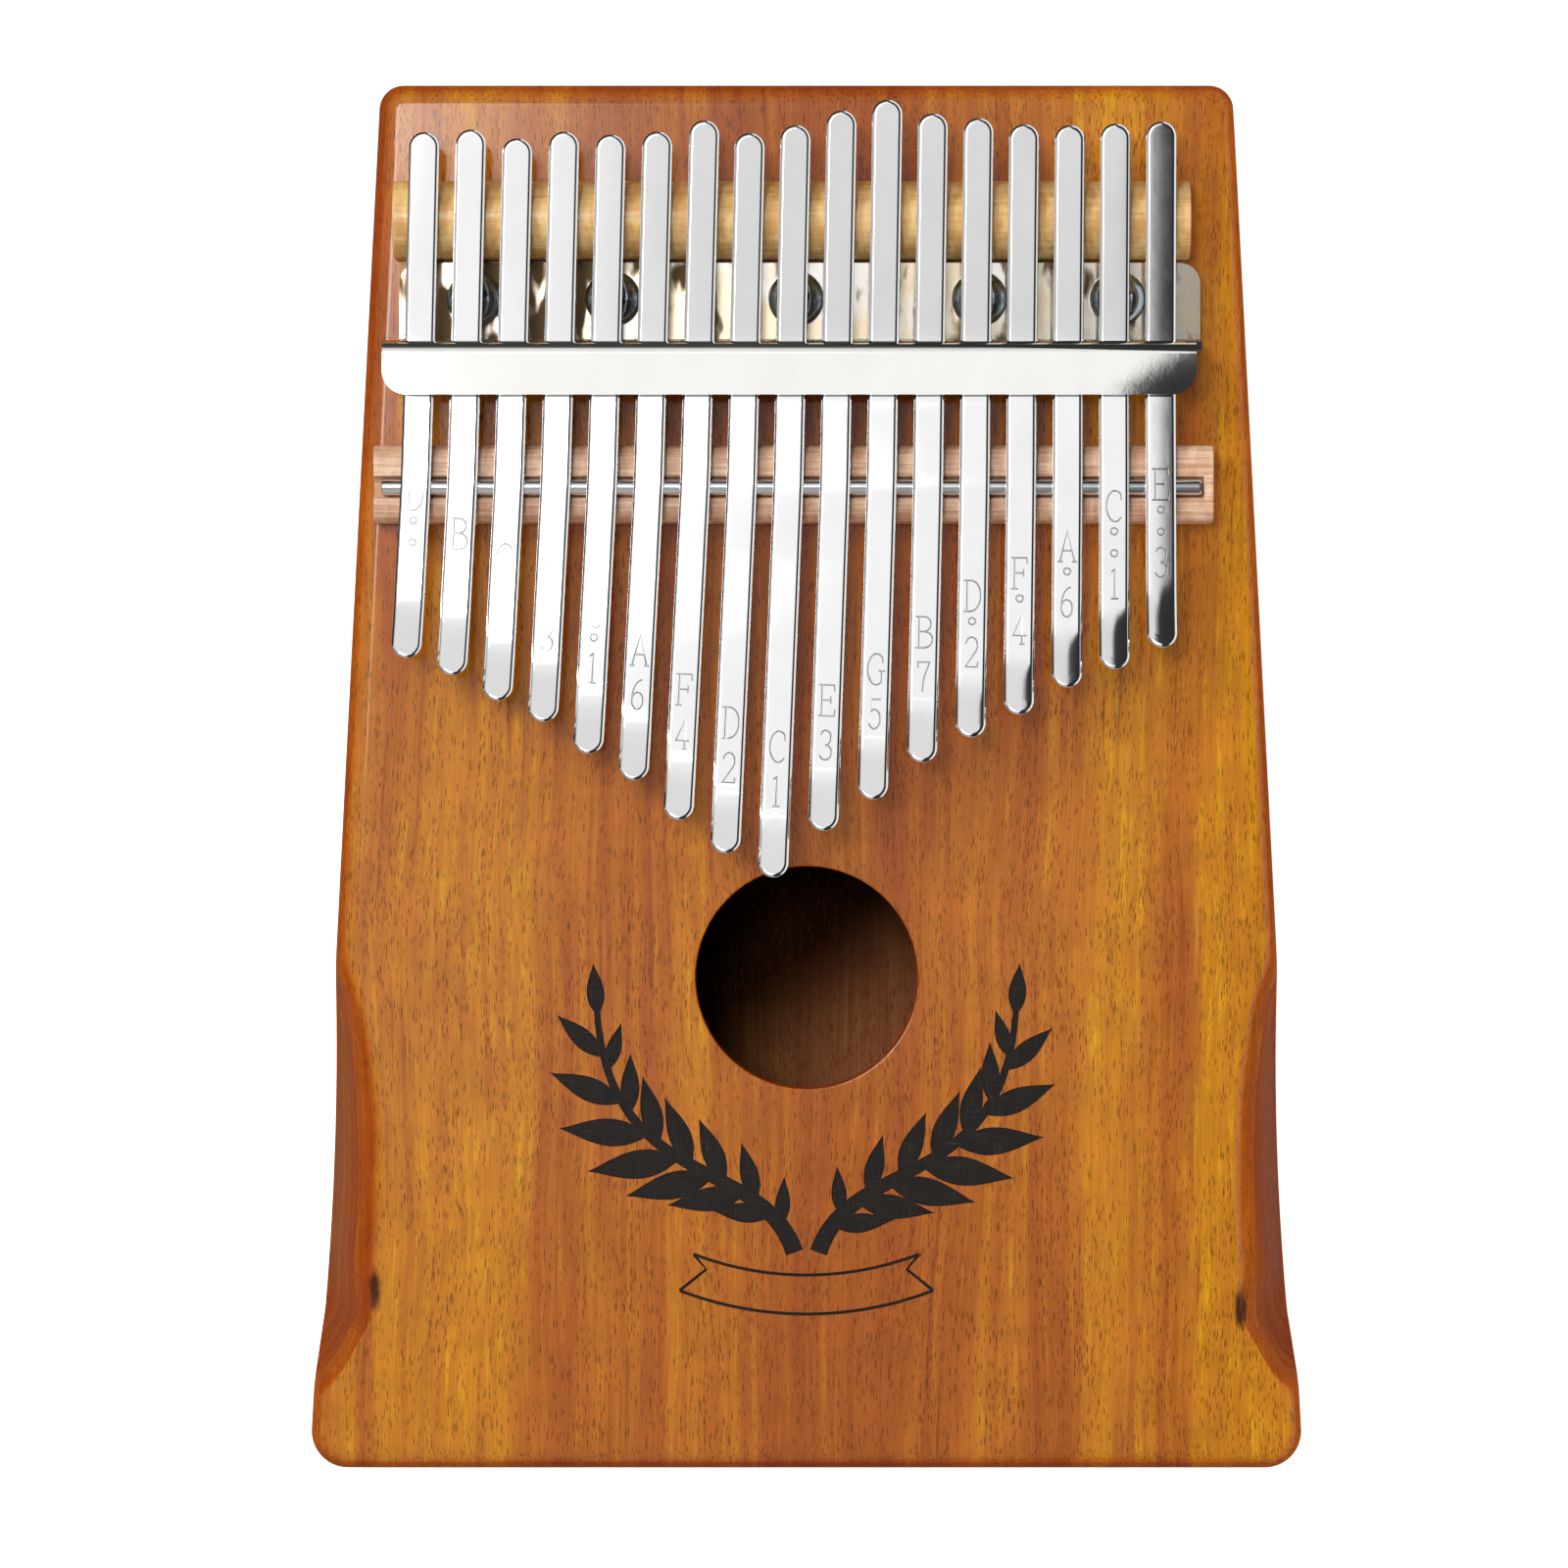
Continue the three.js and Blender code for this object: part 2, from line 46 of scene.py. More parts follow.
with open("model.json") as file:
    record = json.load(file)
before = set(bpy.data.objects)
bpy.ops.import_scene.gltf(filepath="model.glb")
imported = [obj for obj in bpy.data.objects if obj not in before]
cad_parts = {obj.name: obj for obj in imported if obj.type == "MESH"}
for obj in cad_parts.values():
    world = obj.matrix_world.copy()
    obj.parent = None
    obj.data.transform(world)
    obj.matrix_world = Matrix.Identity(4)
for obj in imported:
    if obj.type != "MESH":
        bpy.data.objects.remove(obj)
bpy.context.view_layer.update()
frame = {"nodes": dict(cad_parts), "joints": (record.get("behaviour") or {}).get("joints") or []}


def node_box(name):
    """A CAD node's lowest and highest corners, in millimetres."""
    return [Vector(corner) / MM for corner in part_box(name)]


# ---------- driving dimensions, millimetres ----------

BOARD_UNDER, BOARD_TOP = (corner.z for corner in node_box("soundboard"))
RIM_Z = [corner.z for corner in node_box("side_rim")]
BACK_TOP = node_box("back_plate")[1].z
FOOT_Y, HEAD_Y = (corner.y for corner in node_box("soundboard"))
LENGTH = HEAD_Y - FOOT_Y

HEAD_WIDTH = 114.0
FOOT_WIDTH = 133.0
HEAD_CORNER = 3.3
FOOT_CORNER = 4.9
EDGE = 3.0
WALL = 12.0
CHAMBER_CORNER = 8.0

SCOOP_DEEPEST_Y = -58.0
SCOOP_INSET = 8.5
SCOOP_ARC = 95.0
SCOOP_FACET_Y = -72.4
SCOOP_FOOT_Y = -85.0
SCOOP_FOOT_INSET = 1.0
SCOOP_DEPTH = 20.0
SCOOP_HOLLOW = 1.3

HOLE_RADIUS = 14.8
HOLE_Y = -26.8

TINE_WIDTH = 4.0
TINE_THICKNESS = 1.0
# A tine's edge as (inset, drop): a soft roll-over, then a worn corner.
TINE_EDGE = [
    (0.5, 0.0), (0.44, 0.004), (0.38, 0.016), (0.32, 0.037), (0.26, 0.068), (0.2, 0.111),
    (0.05, 0.245), (0.015, 0.29), (0.0, 0.35),
]
TINE_UNDER_EDGE = [(0.2, 0.0), (0.06, 0.06), (0.0, 0.2)]
TINE_CROWN = 0.0003
TIP_CROWN = 0.0034
TIP_LENGTH = 8.2
TIP_BEND = 2.4
TIP_SLOPE = 0.22
BLADE_RISE = 0.06
REST_HEIGHT = 7.5
CLAMP_HEIGHT = 6.6

# The air between a tine's two halves in the CAD.
HALVES_APART = 0.3

# The handle that makes a Bezier curve a quarter circle, as a share of the radius.
ROUND_HANDLE = 0.5523

NOTES = "d6 b5 g5 e5 c5 a4 f4 d4 c4 e4 g4 b4 d5 f5 a5 c6 e6".split()
SCALE = "cdefgab"
HEEL_LEAN = math.radians(-1.5)
BLADE_LEAN = math.radians(-2.85)
# The tines from this one on stand straighter and straighter.
STRAIGHTENING = 6

ROD_LOW, ROD_HIGH = node_box("bridge_rod")
ROD_Y = (ROD_LOW.y + ROD_HIGH.y) / 2
REAR_Y = sum(corner.y for corner in node_box("rear_bar")) / 2
BRACKET_WEB_Y = 57.7
BRACKET_FRONT_Y = node_box("bracket")[0].y

CAMERA_X, CAMERA_Y = -3.0, -1.0
CAMERA_HEIGHT = 800.0
VIEW_WIDTH = 209.15
SENSOR = 36.0


# ---------- shaping tools ----------


def lerp(a, b, t):
    return a + (b - a) * t


def smoothstep(x, low, high):
    t = min(1.0, max(0.0, (x - low) / (high - low)))
    return t * t * (3 - 2 * t)


def loft(rings):
    """A closed surface through rings of equally many points, anticlockwise as seen from ahead."""
    bm = bmesh.new()
    rows = [[bm.verts.new(point) for point in ring] for ring in rings]
    for low, high in zip(rows, rows[1:]):
        for i, corner in enumerate(low):
            j = (i + 1) % len(low)
            bm.faces.new((corner, low[j], high[j], high[i]))
    bm.faces.new(rows[0][::-1])
    bm.faces.new(rows[-1])
    return bm


def prism(points, z0, z1):
    """An upright prism on an anticlockwise outline."""
    return loft([[(x, y, z) for x, y in points] for z in (z0, z1)])


def box(low, high):
    (x0, y0, z0), (x1, y1, z1) = low, high
    return prism([(x0, y0), (x1, y0), (x1, y1), (x0, y1)], z0, z1)


def circle(x, y, radius, steps=48):
    turns = [2 * math.pi * k / steps for k in range(steps)]
    return [(x + radius * math.cos(t), y + radius * math.sin(t)) for t in turns]


def lathe(profile, steps=48):
    """A solid turned about Z from a profile of (radius, height), bottom first, off the axis."""
    rings = [[(x, y, z) for x, y in circle(0, 0, r, steps)] for r, z in profile]
    return loft(rings)


def run_along_x(section, x0, x1):
    """A solid with an anticlockwise section of (y, z), run from x0 to x1."""
    return loft([[(x, y, z) for y, z in section] for x in (x0, x1)])


def arc(cx, cy, rx, ry, start, end, steps):
    """Points on an ellipse between two angles in degrees."""
    turns = [math.radians(lerp(start, end, k / steps)) for k in range(steps + 1)]
    return [(cx + rx * math.cos(t), cy + ry * math.sin(t)) for t in turns]


def bezier(p0, p1, p2, p3, steps):
    points = []
    for k in range(steps + 1):
        t = k / steps
        u = 1 - t
        weights = (u**3, 3 * u * u * t, 3 * u * t * t, t**3)
        points.append(sum((w * Vector(p) for w, p in zip(weights, (p0, p1, p2, p3))), Vector((0, 0))))
    return points


def mesh_object(name, bm, materials=()):
    """A bmesh as an object still in millimetres."""
    bmesh.ops.recalc_face_normals(bm, faces=bm.faces)
    mesh = bpy.data.meshes.new(name)
    bm.to_mesh(mesh)
    bm.free()
    obj = bpy.data.objects.new(name, mesh)
    bpy.context.collection.objects.link(obj)
    for material in materials:
        mesh.materials.append(material)
    return obj


def modify(obj, kind, **settings):
    """Applies one modifier, with the given settings, to the object's mesh."""
    modifier = obj.modifiers.new(kind.lower(), kind)
    for key, value in settings.items():
        setattr(modifier, key, value)
    graph = bpy.context.evaluated_depsgraph_get()
    mesh = bpy.data.meshes.new_from_object(obj.evaluated_get(graph))
    obj.modifiers.clear()
    old, obj.data = obj.data, mesh
    bpy.data.meshes.remove(old)


def cut(obj, cutter, overlapping=False):
    """Cuts a bmesh or object out of the object, which takes the cutter's materials in the cut."""
    if isinstance(cutter, bmesh.types.BMesh):
        cutter = mesh_object("cutter", cutter, obj.data.materials)
    modify(
        obj, "BOOLEAN", operation="DIFFERENCE", solver="EXACT", use_self=overlapping,
        material_mode="TRANSFER", object=cutter,
    )
    bpy.data.objects.remove(cutter)


def joined(parts):
    """Several bmeshes as one."""
    whole = bmesh.new()
    for part in parts:
        mesh = bpy.data.meshes.new("part")
        part.to_mesh(mesh)
        part.free()
        whole.from_mesh(mesh)
        bpy.data.meshes.remove(mesh)
    return whole


def slab(form, z0, z1):
    """The part of a bmesh between two heights, as a new bmesh."""
    part = form.copy()
    for z, above in ((z0, False), (z1, True)):
        geometry = part.verts[:] + part.edges[:] + part.faces[:]
        bmesh.ops.bisect_plane(
            part, geom=geometry, plane_co=(0, 0, z), plane_no=(0, 0, 1),
            clear_outer=above, clear_inner=not above,
        )
        bmesh.ops.edgeloop_fill(part, edges=[e for e in part.edges if e.is_boundary])
    return part


def bevel(obj, width, segments=3, angle=35):
    modify(
        obj, "BEVEL", width=width, segments=segments, limit_method="ANGLE",
        angle_limit=math.radians(angle), use_clamp_overlap=True,
    )


def shade(obj, crease):
    """Smooth shading with creases, in which wide faces stay flat up to their rounded edges."""
    bm = bmesh.new()
    bm.from_mesh(obj.data)
    for face in bm.faces:
        face.smooth = True
    for edge in bm.edges:
        edge.smooth = edge.calc_face_angle(0) < math.radians(crease)
    bm.to_mesh(obj.data)
    bm.free()
    modify(obj, "WEIGHTED_NORMAL", mode="FACE_AREA", weight=100, keep_sharp=True)


def finish(obj, nodes, body="body", crease=32):
    """Turns a piece into metres, shades it, and has it stand for its CAD nodes."""
    shade(obj, crease)
    obj.data.transform(Matrix.Scale(MM, 4))
    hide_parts(*nodes)
    if body:
        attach(obj, body)
    return obj


# ---------- material tools ----------


class Nodes:
    """A short way to write a node tree. Lengths given to its textures are in millimetres."""

    def __init__(self, tree):
        self.tree = tree
        tree.nodes.clear()

    def add(self, kind, inputs=None, **settings):
        node = self.tree.nodes.new(kind)
        for key, value in settings.items():
            setattr(node, key, value)
        for key, value in (inputs or {}).items():
            self.put(node.inputs[key], value)
        return node

    def put(self, socket, value):
        if isinstance(value, bpy.types.NodeSocket):
            self.tree.links.new(value, socket)
        else:
            socket.default_value = value

    def feed(self, shader, **inputs):
        """Sets a shader's inputs, named with underscores for spaces."""
        for key, value in inputs.items():
            self.put(shader.inputs[key.replace("_", " ")], value)

    def math(self, operation, a, b=0.0, c=0.0):
        return self.add("ShaderNodeMath", {0: a, 1: b, 2: c}, operation=operation).outputs[0]

    def times(self, a, b):
        return self.math("MULTIPLY", a, b)

    def minus(self, a, b):
        return self.math("SUBTRACT", a, b)

    def times_plus(self, a, b, c):
        return self.math("MULTIPLY_ADD", a, b, c)

    def band(self, value, low, high, to_low=0.0, to_high=1.0):
        """A value eased from one range into another."""
        inputs = {"Value": value, "From Min": low, "From Max": high}
        inputs |= {"To Min": to_low, "To Max": to_high}
        node = self.add("ShaderNodeMapRange", inputs, interpolation_type="SMOOTHSTEP")
        return node.outputs["Result"]

    def near(self, value, middle, inner, outer):
        """One within inner of the middle, easing to nothing at outer."""
        return self.band(self.math("ABSOLUTE", self.minus(value, middle)), inner, outer, 1.0, 0.0)

    def vector(self, x, y, z):
        return self.add("ShaderNodeCombineXYZ", {0: x, 1: y, 2: z}).outputs[0]

    def apart(self, vector):
        return tuple(self.add("ShaderNodeSeparateXYZ", {0: vector}).outputs)

    def counted(self, position, *cell):
        """A position counted in cells of the given width, length and height."""
        inputs = {0: position, 1: [1 / (side * MM) for side in cell]}
        return self.add("ShaderNodeVectorMath", inputs, operation="MULTIPLY").outputs[0]

    def noise(self, position, cell, detail=2.0, roughness=0.5, distortion=0.0):
        inputs = {"Vector": self.counted(position, *cell), "Scale": 1.0, "Detail": detail}
        inputs |= {"Roughness": roughness, "Distortion": distortion}
        return self.add("ShaderNodeTexNoise", inputs).outputs["Fac"]

    def scattered(self, position, cell):
        """Distance to the nearest of scattered points, and a random number for each."""
        inputs = {"Vector": self.counted(position, *cell), "Scale": 1.0}
        node = self.add("ShaderNodeTexVoronoi", inputs)
        return node.outputs["Distance"], self.apart(node.outputs["Color"])[0]

    def mix(self, factor, a, b, blend="MIX"):
        node = self.add("ShaderNodeMix", data_type="RGBA", blend_type=blend)
        for socket, value in zip((0, 6, 7), (factor, a, b)):
            self.put(node.inputs[socket], value)
        return node.outputs[2]

    def shaded(self, colour, level):
        """A colour made darker or lighter by a factor."""
        return self.mix(1.0, colour, self.vector(level, level, level), "MULTIPLY")

    def ramp(self, value, stops):
        """A colour by a value from 0 to 1."""
        node = self.add("ShaderNodeValToRGB", {0: value})
        elements = node.color_ramp.elements
        elements[0].position, elements[1].position = stops[0][0], stops[-1][0]
        for position, _ in stops[1:-1]:
            elements.new(position)
        for element, (_, colour) in zip(elements, stops):
            element.color = colour
        return node.outputs["Color"]

    def levels(self, value, stops):
        """A grey level by a value of any range, from stops of (value, level)."""
        low, high = stops[0][0], stops[-1][0]
        share = self.times_plus(value, 1 / (high - low), -low / (high - low))
        return self.ramp(share, [((at - low) / (high - low), grey(level)) for at, level in stops])

    def bump(self, height, strength, distance, normal=None):
        inputs = {"Height": height, "Strength": strength, "Distance": distance * MM}
        if normal is not None:
            inputs["Normal"] = normal
        return self.add("ShaderNodeBump", inputs).outputs[0]


def srgb(red, green, blue):
    """An 8-bit screen colour as the linear colour a shader takes."""
    channels = [c / 255 for c in (red, green, blue)]
    linear = [c / 12.92 if c <= 0.04045 else ((c + 0.055) / 1.055) ** 2.4 for c in channels]
    return (*linear, 1.0)


def grey(level):
    return (level, level, level, 1.0)


def new_material(name, **settings):
    """A principled material: its nodes, shader and object-space position."""
    material = bpy.data.materials.new(name)
    material.use_nodes = True
    nodes = Nodes(material.node_tree)
    shader = nodes.add("ShaderNodeBsdfPrincipled")
    nodes.feed(shader, **settings)
    nodes.add("ShaderNodeOutputMaterial", {"Surface": shader.outputs[0]})
    position = nodes.add("ShaderNodeTexCoord").outputs["Object"]
    return material, nodes, shader, position


# ---------- materials ----------

# Tone across the soundboard, from the player's left to right: dark heart, golden sides.
BANDS = [
    (-66, 0.55), (-52, 0.42), (-47, 0.48), (-40, 0.7), (-34, 0.38), (-29, 0.42), (-23, 0.26),
    (-15, 0.45), (-8, 0.28), (11, 0.3), (20, 0.36), (24, 0.5), (29, 0.32), (35, 0.38), (39, 0.66),
    (44, 0.58), (49, 0.48), (55, 0.64), (66, 0.6),
]
# The wood's colour by its tone: red, brown, orange, amber, gold.
WOOD_TONES = [
    (0.0, srgb(164, 82, 36)), (0.28, srgb(184, 100, 38)), (0.48, srgb(204, 122, 40)),
    (0.7, srgb(216, 138, 36)), (1.0, srgb(226, 156, 24)),
]
WOOD_FLECK = srgb(238, 176, 32)
WOOD_BLUSH = srgb(174, 88, 46)
WOOD_VEIN = srgb(118, 56, 20)
WOOD_PORE = srgb(88, 38, 14)
WOOD_BURN = srgb(62, 28, 18)
SCOOP_MARKS = [(-57.6, -68.5), (57.9, -71.0)]


def wood_position(nodes, position, turned, seed):
    """Where a point lies in the timber: across the grain, along it, and deep."""
    x, y, z = nodes.apart(position)
    if turned:
        # Four boards: the grain runs along each side, so it turns at the corners.
        normal = nodes.add("ShaderNodeNewGeometry").outputs["Normal"]
        facing = nodes.math("ABSOLUTE", nodes.apart(normal)[1])
        end = nodes.math("GREATER_THAN", facing, 0.7)
        side = nodes.minus(1.0, end)
        along = nodes.times_plus(x, end, nodes.times(y, side))
        depth = nodes.times_plus(y, end, nodes.times(x, side))
        x, y, z = z, along, depth
    y = nodes.math("ADD", y, seed)
    sway = nodes.noise(nodes.vector(x, y, z), (34, 70, 30))
    x = nodes.times_plus(nodes.minus(sway, 0.5), 8 * MM, x)
    return x, nodes.vector(x, y, z)


def dark_mark(nodes, position, place):
    """How strongly the small dark burn where a scoop ends covers a point."""
    inputs = {0: position, 1: Vector((*place, 0)) * MM}
    away = nodes.add("ShaderNodeVectorMath", inputs, operation="SUBTRACT").outputs[0]
    half_width, half_length, any_height = 1.1, 3.4, 1e6
    away = nodes.counted(away, half_width, half_length, any_height)
    reach = nodes.add("ShaderNodeVectorMath", {0: away}, operation="LENGTH").outputs["Value"]
    ragged = nodes.noise(position, (0.5, 2.5, 2))
    reach = nodes.times_plus(ragged, 0.9, nodes.minus(reach, 0.45))
    return nodes.band(reach, 0.3, 1.05, 0.95, 0.0)


def painted_light_inside(nodes, position):
    """Painted light and shade inside the box: how much paler a point is, dark under the head's left, pale
    across from it where the light through the sound hole lands.
    """
    x, y, _ = nodes.apart(position)
    right, footward = 0.6, 0.8
    away = nodes.times_plus(y, -footward, HOLE_Y * footward * MM)
    away = nodes.times_plus(x, right, away)
    return nodes.band(away, -4 * MM, 13 * MM, 0.2, 2.75)


def acacia(name, turned=False, seed=0.0, inside=False, marks=()):
    """Figured acacia: golden and reddish bands, golden flecks, fine fibres and dark pores."""
    material, nodes, shader, position = new_material(
        name, Roughness=0.5, Specular_IOR_Level=0.0,
        Coat_Weight=0.0 if inside else 0.6, Coat_Roughness=0.09, Coat_IOR=1.5,
    )
    x, wood = wood_position(nodes, position, turned, seed)

    bands = nodes.levels(nodes.times(x, 1 / MM), BANDS)
    broad = nodes.noise(wood, (9, 190, 20), 2.0, 0.55)
    streak = nodes.noise(wood, (1.6, 60, 9), 4.0, 0.65)
    gold = nodes.times_plus(broad, 0.6, nodes.minus(bands, 0.3))
    gold = nodes.times_plus(nodes.minus(streak, 0.5), 0.95, gold)
    colour = nodes.ramp(gold, WOOD_TONES)
    fleck = nodes.noise(wood, (0.9, 8, 2), 3.0, 0.6)
    fleck = nodes.times(nodes.band(fleck, 0.5, 0.72), nodes.band(gold, 0.3, 0.75))
    colour = nodes.mix(nodes.times(fleck, 0.75), colour, WOOD_FLECK)
    blush = nodes.band(nodes.noise(wood, (4.5, 55, 9)), 0.52, 0.72, 0.0, 0.5)
    colour = nodes.mix(blush, colour, WOOD_BLUSH)
    vein = nodes.band(nodes.noise(wood, (0.75, 38, 5), 3.0, 0.6, 0.4), 0.56, 0.72, 0.0, 0.6)
    veined = nodes.band(nodes.noise(wood, (11, 70, 20)), 0.4, 0.65)
    colour = nodes.mix(nodes.times(vein, veined), colour, WOOD_VEIN)

    fibre = nodes.noise(wood, (0.2, 14, 0.5), 4.0, 0.65)
    shade_of = nodes.band(fibre, 0.25, 0.75, 0.75, 1.03)
    ripple = nodes.noise(wood, (6, 5, 6), 3.0, 0.6)
    shade_of = nodes.times(shade_of, nodes.band(ripple, 0.25, 0.75, 0.92, 1.08))
    colour = nodes.shaded(colour, shade_of)
    if inside:
        # The inside is greyed, which is partly the raw wood's duller colour, and darkened as painted
        # shade of the closed box; then painted light and shade from the sound hole are laid over it.
        colour = nodes.mix(1.0, colour, (0.2, 0.26, 0.7, 1), "MULTIPLY")
        colour = nodes.shaded(colour, painted_light_inside(nodes, position))
    else:
        # Painted shade: faces that turn away from the front, the roundovers and scoops, are darkened and
        # reddened.
        normal = nodes.add("ShaderNodeTexCoord").outputs["Normal"]
        level = nodes.math("ABSOLUTE", nodes.apart(normal)[2])
        painted_edge_shade = nodes.mix(1.0, colour, (0.86, 0.48, 0.16, 1), "MULTIPLY")
        colour = nodes.mix(nodes.band(level, 0.6, 0.99, 1.0, 0.0), colour, painted_edge_shade)

    crowding = nodes.noise(wood, (5, 30, 8))
    share = nodes.band(crowding, 0.32, 0.7, 0.18, 0.68)
    pore = None
    for width, length in ((0.3, 2.4), (0.2, 1.5)):
        distance, chance = nodes.scattered(wood, (width, length, width))
        dash = nodes.band(distance, 0.2, 0.36, 1.0, 0.0)
        dash = nodes.times(dash, nodes.math("LESS_THAN", chance, share))
        pore = dash if pore is None else nodes.math("MAXIMUM", pore, dash)
    colour = nodes.mix(nodes.times(pore, 0.68), colour, WOOD_PORE)
    for place in marks:
        colour = nodes.mix(dark_mark(nodes, position, place), colour, WOOD_BURN)
    relief = nodes.times_plus(fibre, 0.25, nodes.times(pore, -1.0))
    nodes.feed(shader, Base_Color=colour, Normal=nodes.bump(relief, 0.35, 0.05))
    varnish = nodes.noise(wood, (2.5, 6.0, 3.0))
    varnish = nodes.times_plus(pore, -0.06, varnish)
    nodes.feed(shader, Coat_Normal=nodes.bump(varnish, 0.25, 0.04))
    return material


def pale_wood(name, light, dark, coat, line_width, figure):
    """A light, close-grained wood with its grain along X."""
    material, nodes, shader, position = new_material(
        name, Roughness=0.5, Coat_Weight=coat, Coat_Roughness=0.25, Specular_IOR_Level=0.35,
    )
    grain = nodes.noise(position, (22, line_width, line_width * 1.6), 4.0, 0.65)
    lines = nodes.noise(position, (7, line_width * 0.35, line_width * 0.5), 3.0, 0.6)
    flame = nodes.noise(position, (1.5, 4.5, 3.0), 2.0, 0.5, 0.6)
    tone = nodes.times_plus(lines, 0.7, nodes.times_plus(grain, 0.9, -0.3))
    tone = nodes.times_plus(nodes.minus(flame, 0.5), figure, tone)
    colour = nodes.mix(nodes.band(tone, 0.25, 0.8), dark, light)
    fleck = nodes.noise(position, (1.3, 0.14, 0.3), 1.0)
    colour = nodes.mix(nodes.band(fleck, 0.66, 0.76, 0.0, 0.5), colour, dark)
    nodes.feed(shader, Base_Color=colour, Normal=nodes.bump(lines, 0.4, 0.05))
    return material


def burnt_wood():
    """Laser-burnt wood: nearly black, with the faint hatch of the beam's passes."""
    material, nodes, shader, position = new_material(
        "burnt_wood", Roughness=0.62, Specular_IOR_Level=0.3,
    )
    passes = nodes.noise(position, (0.16, 3.0, 1.0))
    across = nodes.noise(position, (3.0, 0.16, 1.0))
    hatch = nodes.band(nodes.math("MAXIMUM", passes, across), 0.55, 0.75)
    char = nodes.noise(position, (0.5, 1.4, 0.5), 3.0)
    colour = nodes.mix(nodes.times(hatch, 0.35), srgb(24, 19, 17), srgb(82, 68, 54))
    colour = nodes.mix(nodes.band(char, 0.55, 0.8, 0.0, 0.4), colour, srgb(48, 28, 16))
    nodes.feed(shader, Base_Color=colour, Normal=nodes.bump(hatch, 0.5, 0.04))
    return material


def polished_metal(name, colour, roughness, brush, brush_depth, pit_depth, painted_reflection_below=None):
    """Bright metal: brush is the cell size of its polishing marks.

    Below the height given last it is duller, with the warm wood's reflection painted on as a cream tint,
    and with painted shade and reflection in brown patches.
    """
    material, nodes, shader, position = new_material(name, Metallic=1.0, Specular_IOR_Level=0.0)
    marks = nodes.noise(position, brush, 3.0, 0.7)
    orange_peel = nodes.noise(position, (0.9, 0.9, 0.9), 2.0, 0.6)
    smudge = nodes.noise(position, (6, 9, 6), 3.0)
    rough = nodes.band(smudge, 0.3, 0.75, roughness * 0.8, roughness * 1.35)
    rough = nodes.times_plus(marks, roughness * 0.35, rough)
    dull = tuple(c * 0.9 for c in colour[:3]) + (1.0,)
    tint = nodes.mix(nodes.band(smudge, 0.35, 0.8, 0.0, 0.45), colour, dull)
    if painted_reflection_below:
        x, _, z = nodes.apart(position)
        low = nodes.band(z, painted_reflection_below * MM, (painted_reflection_below + 1) * MM, 1.0, 0.0)
        rough = nodes.times_plus(low, nodes.band(smudge, 0.3, 0.7, 0.07, 0.15), rough)
        # Painted reflection: a cream tint that stands for the warm wood mirrored in the lower flange.
        painted_wood_reflection = nodes.mix(nodes.band(smudge, 0.35, 0.65, 0.2, 1.0), colour, (0.72, 0.6, 0.43, 1))
        tint = nodes.mix(low, tint, painted_wood_reflection)
        # Painted shade and reflection: brown patches, more of them towards the left, for the shade near
        # the screws and between the tines and for the dark wood mirrored there.
        painted_brown_patches = nodes.noise(position, (3.2, 9, 5), 2.0, 0.6)
        painted_brown_patches = nodes.math("ADD", painted_brown_patches, nodes.band(x, 20 * MM, -50 * MM, 0.0, 0.15))
        painted_brown_patches = nodes.times(low, nodes.band(painted_brown_patches, 0.54, 0.66))
        tint = nodes.mix(painted_brown_patches, tint, srgb(122, 100, 74))
        nodes.feed(shader, Metallic=nodes.minus(1.0, painted_brown_patches))
    normal = nodes.bump(orange_peel, 0.5, pit_depth, nodes.bump(marks, 0.5, brush_depth))
    nodes.feed(shader, Base_Color=tint, Roughness=rough, Normal=normal)
    return material


def white_floor():
    material, _, _, _ = new_material(
        "white_floor", Base_Color=grey(0.9), Roughness=0.55, Specular_IOR_Level=0.2,
        Emission_Color=grey(1.0), Emission_Strength=0.8,
    )
    return material


def make_materials():
    return {
        "face": acacia("acacia_face", marks=SCOOP_MARKS),
        "rim": acacia("acacia_rim", turned=True, seed=0.4),
        "back": acacia("acacia_back", seed=0.9),
        "inside": acacia("acacia_inside", seed=1.3, inside=True),
        "burnt": burnt_wood(),
        "raw": pale_wood("raw_wood", srgb(178, 132, 88), srgb(120, 80, 48), 0.0, 1.4, 0.2),
        "maple": pale_wood("maple", srgb(248, 208, 136), srgb(222, 166, 92), 0.7, 0.9, 1.4),
        "beech": pale_wood("beech", srgb(250, 214, 180), srgb(206, 150, 116), 0.25, 0.55, 0.6),
        "steel": polished_metal("spring_steel", grey(0.91), 0.025, (3.0, 0.12, 3.0), 0.0002, 0.00012),
        "rod": polished_metal("rod_steel", grey(0.86), 0.12, (5.0, 0.3, 0.3), 0.002, 0.002),
        "nickel": polished_metal(
            "nickel_plate", (0.95, 0.94, 0.915, 1), 0.022, (4, 4, 4), 0.0006, 0.001, BOARD_TOP + 2,
        ),
        "zinc": polished_metal("zinc_plate", (0.42, 0.5, 0.57, 1), 0.14, (1.5, 1.5, 1.5), 0.004, 0.006),
    }


# ---------- sound box ----------


def half_width(y):
    """Half the body's width at a distance along it, ignoring the corners."""
    return lerp(HEAD_WIDTH, FOOT_WIDTH, (HEAD_Y - y) / LENGTH) / 2


def rounded_corner(a, b, c, radius, steps):
    """The rounded corner at b on an anticlockwise walk, as points with their inward normals."""
    into = (a - b).normalized()
    away = (c - b).normalized()
    half = into.angle(away) / 2
    centre = b + (into + away).normalized() * radius / math.sin(half)
    first = b + into * radius / math.tan(half) - centre
    sweep = math.pi - 2 * half
    spokes = [Matrix.Rotation(sweep * k / steps, 2) @ first for k in range(steps + 1)]
    return [(centre + spoke, -spoke.normalized()) for spoke in spokes]


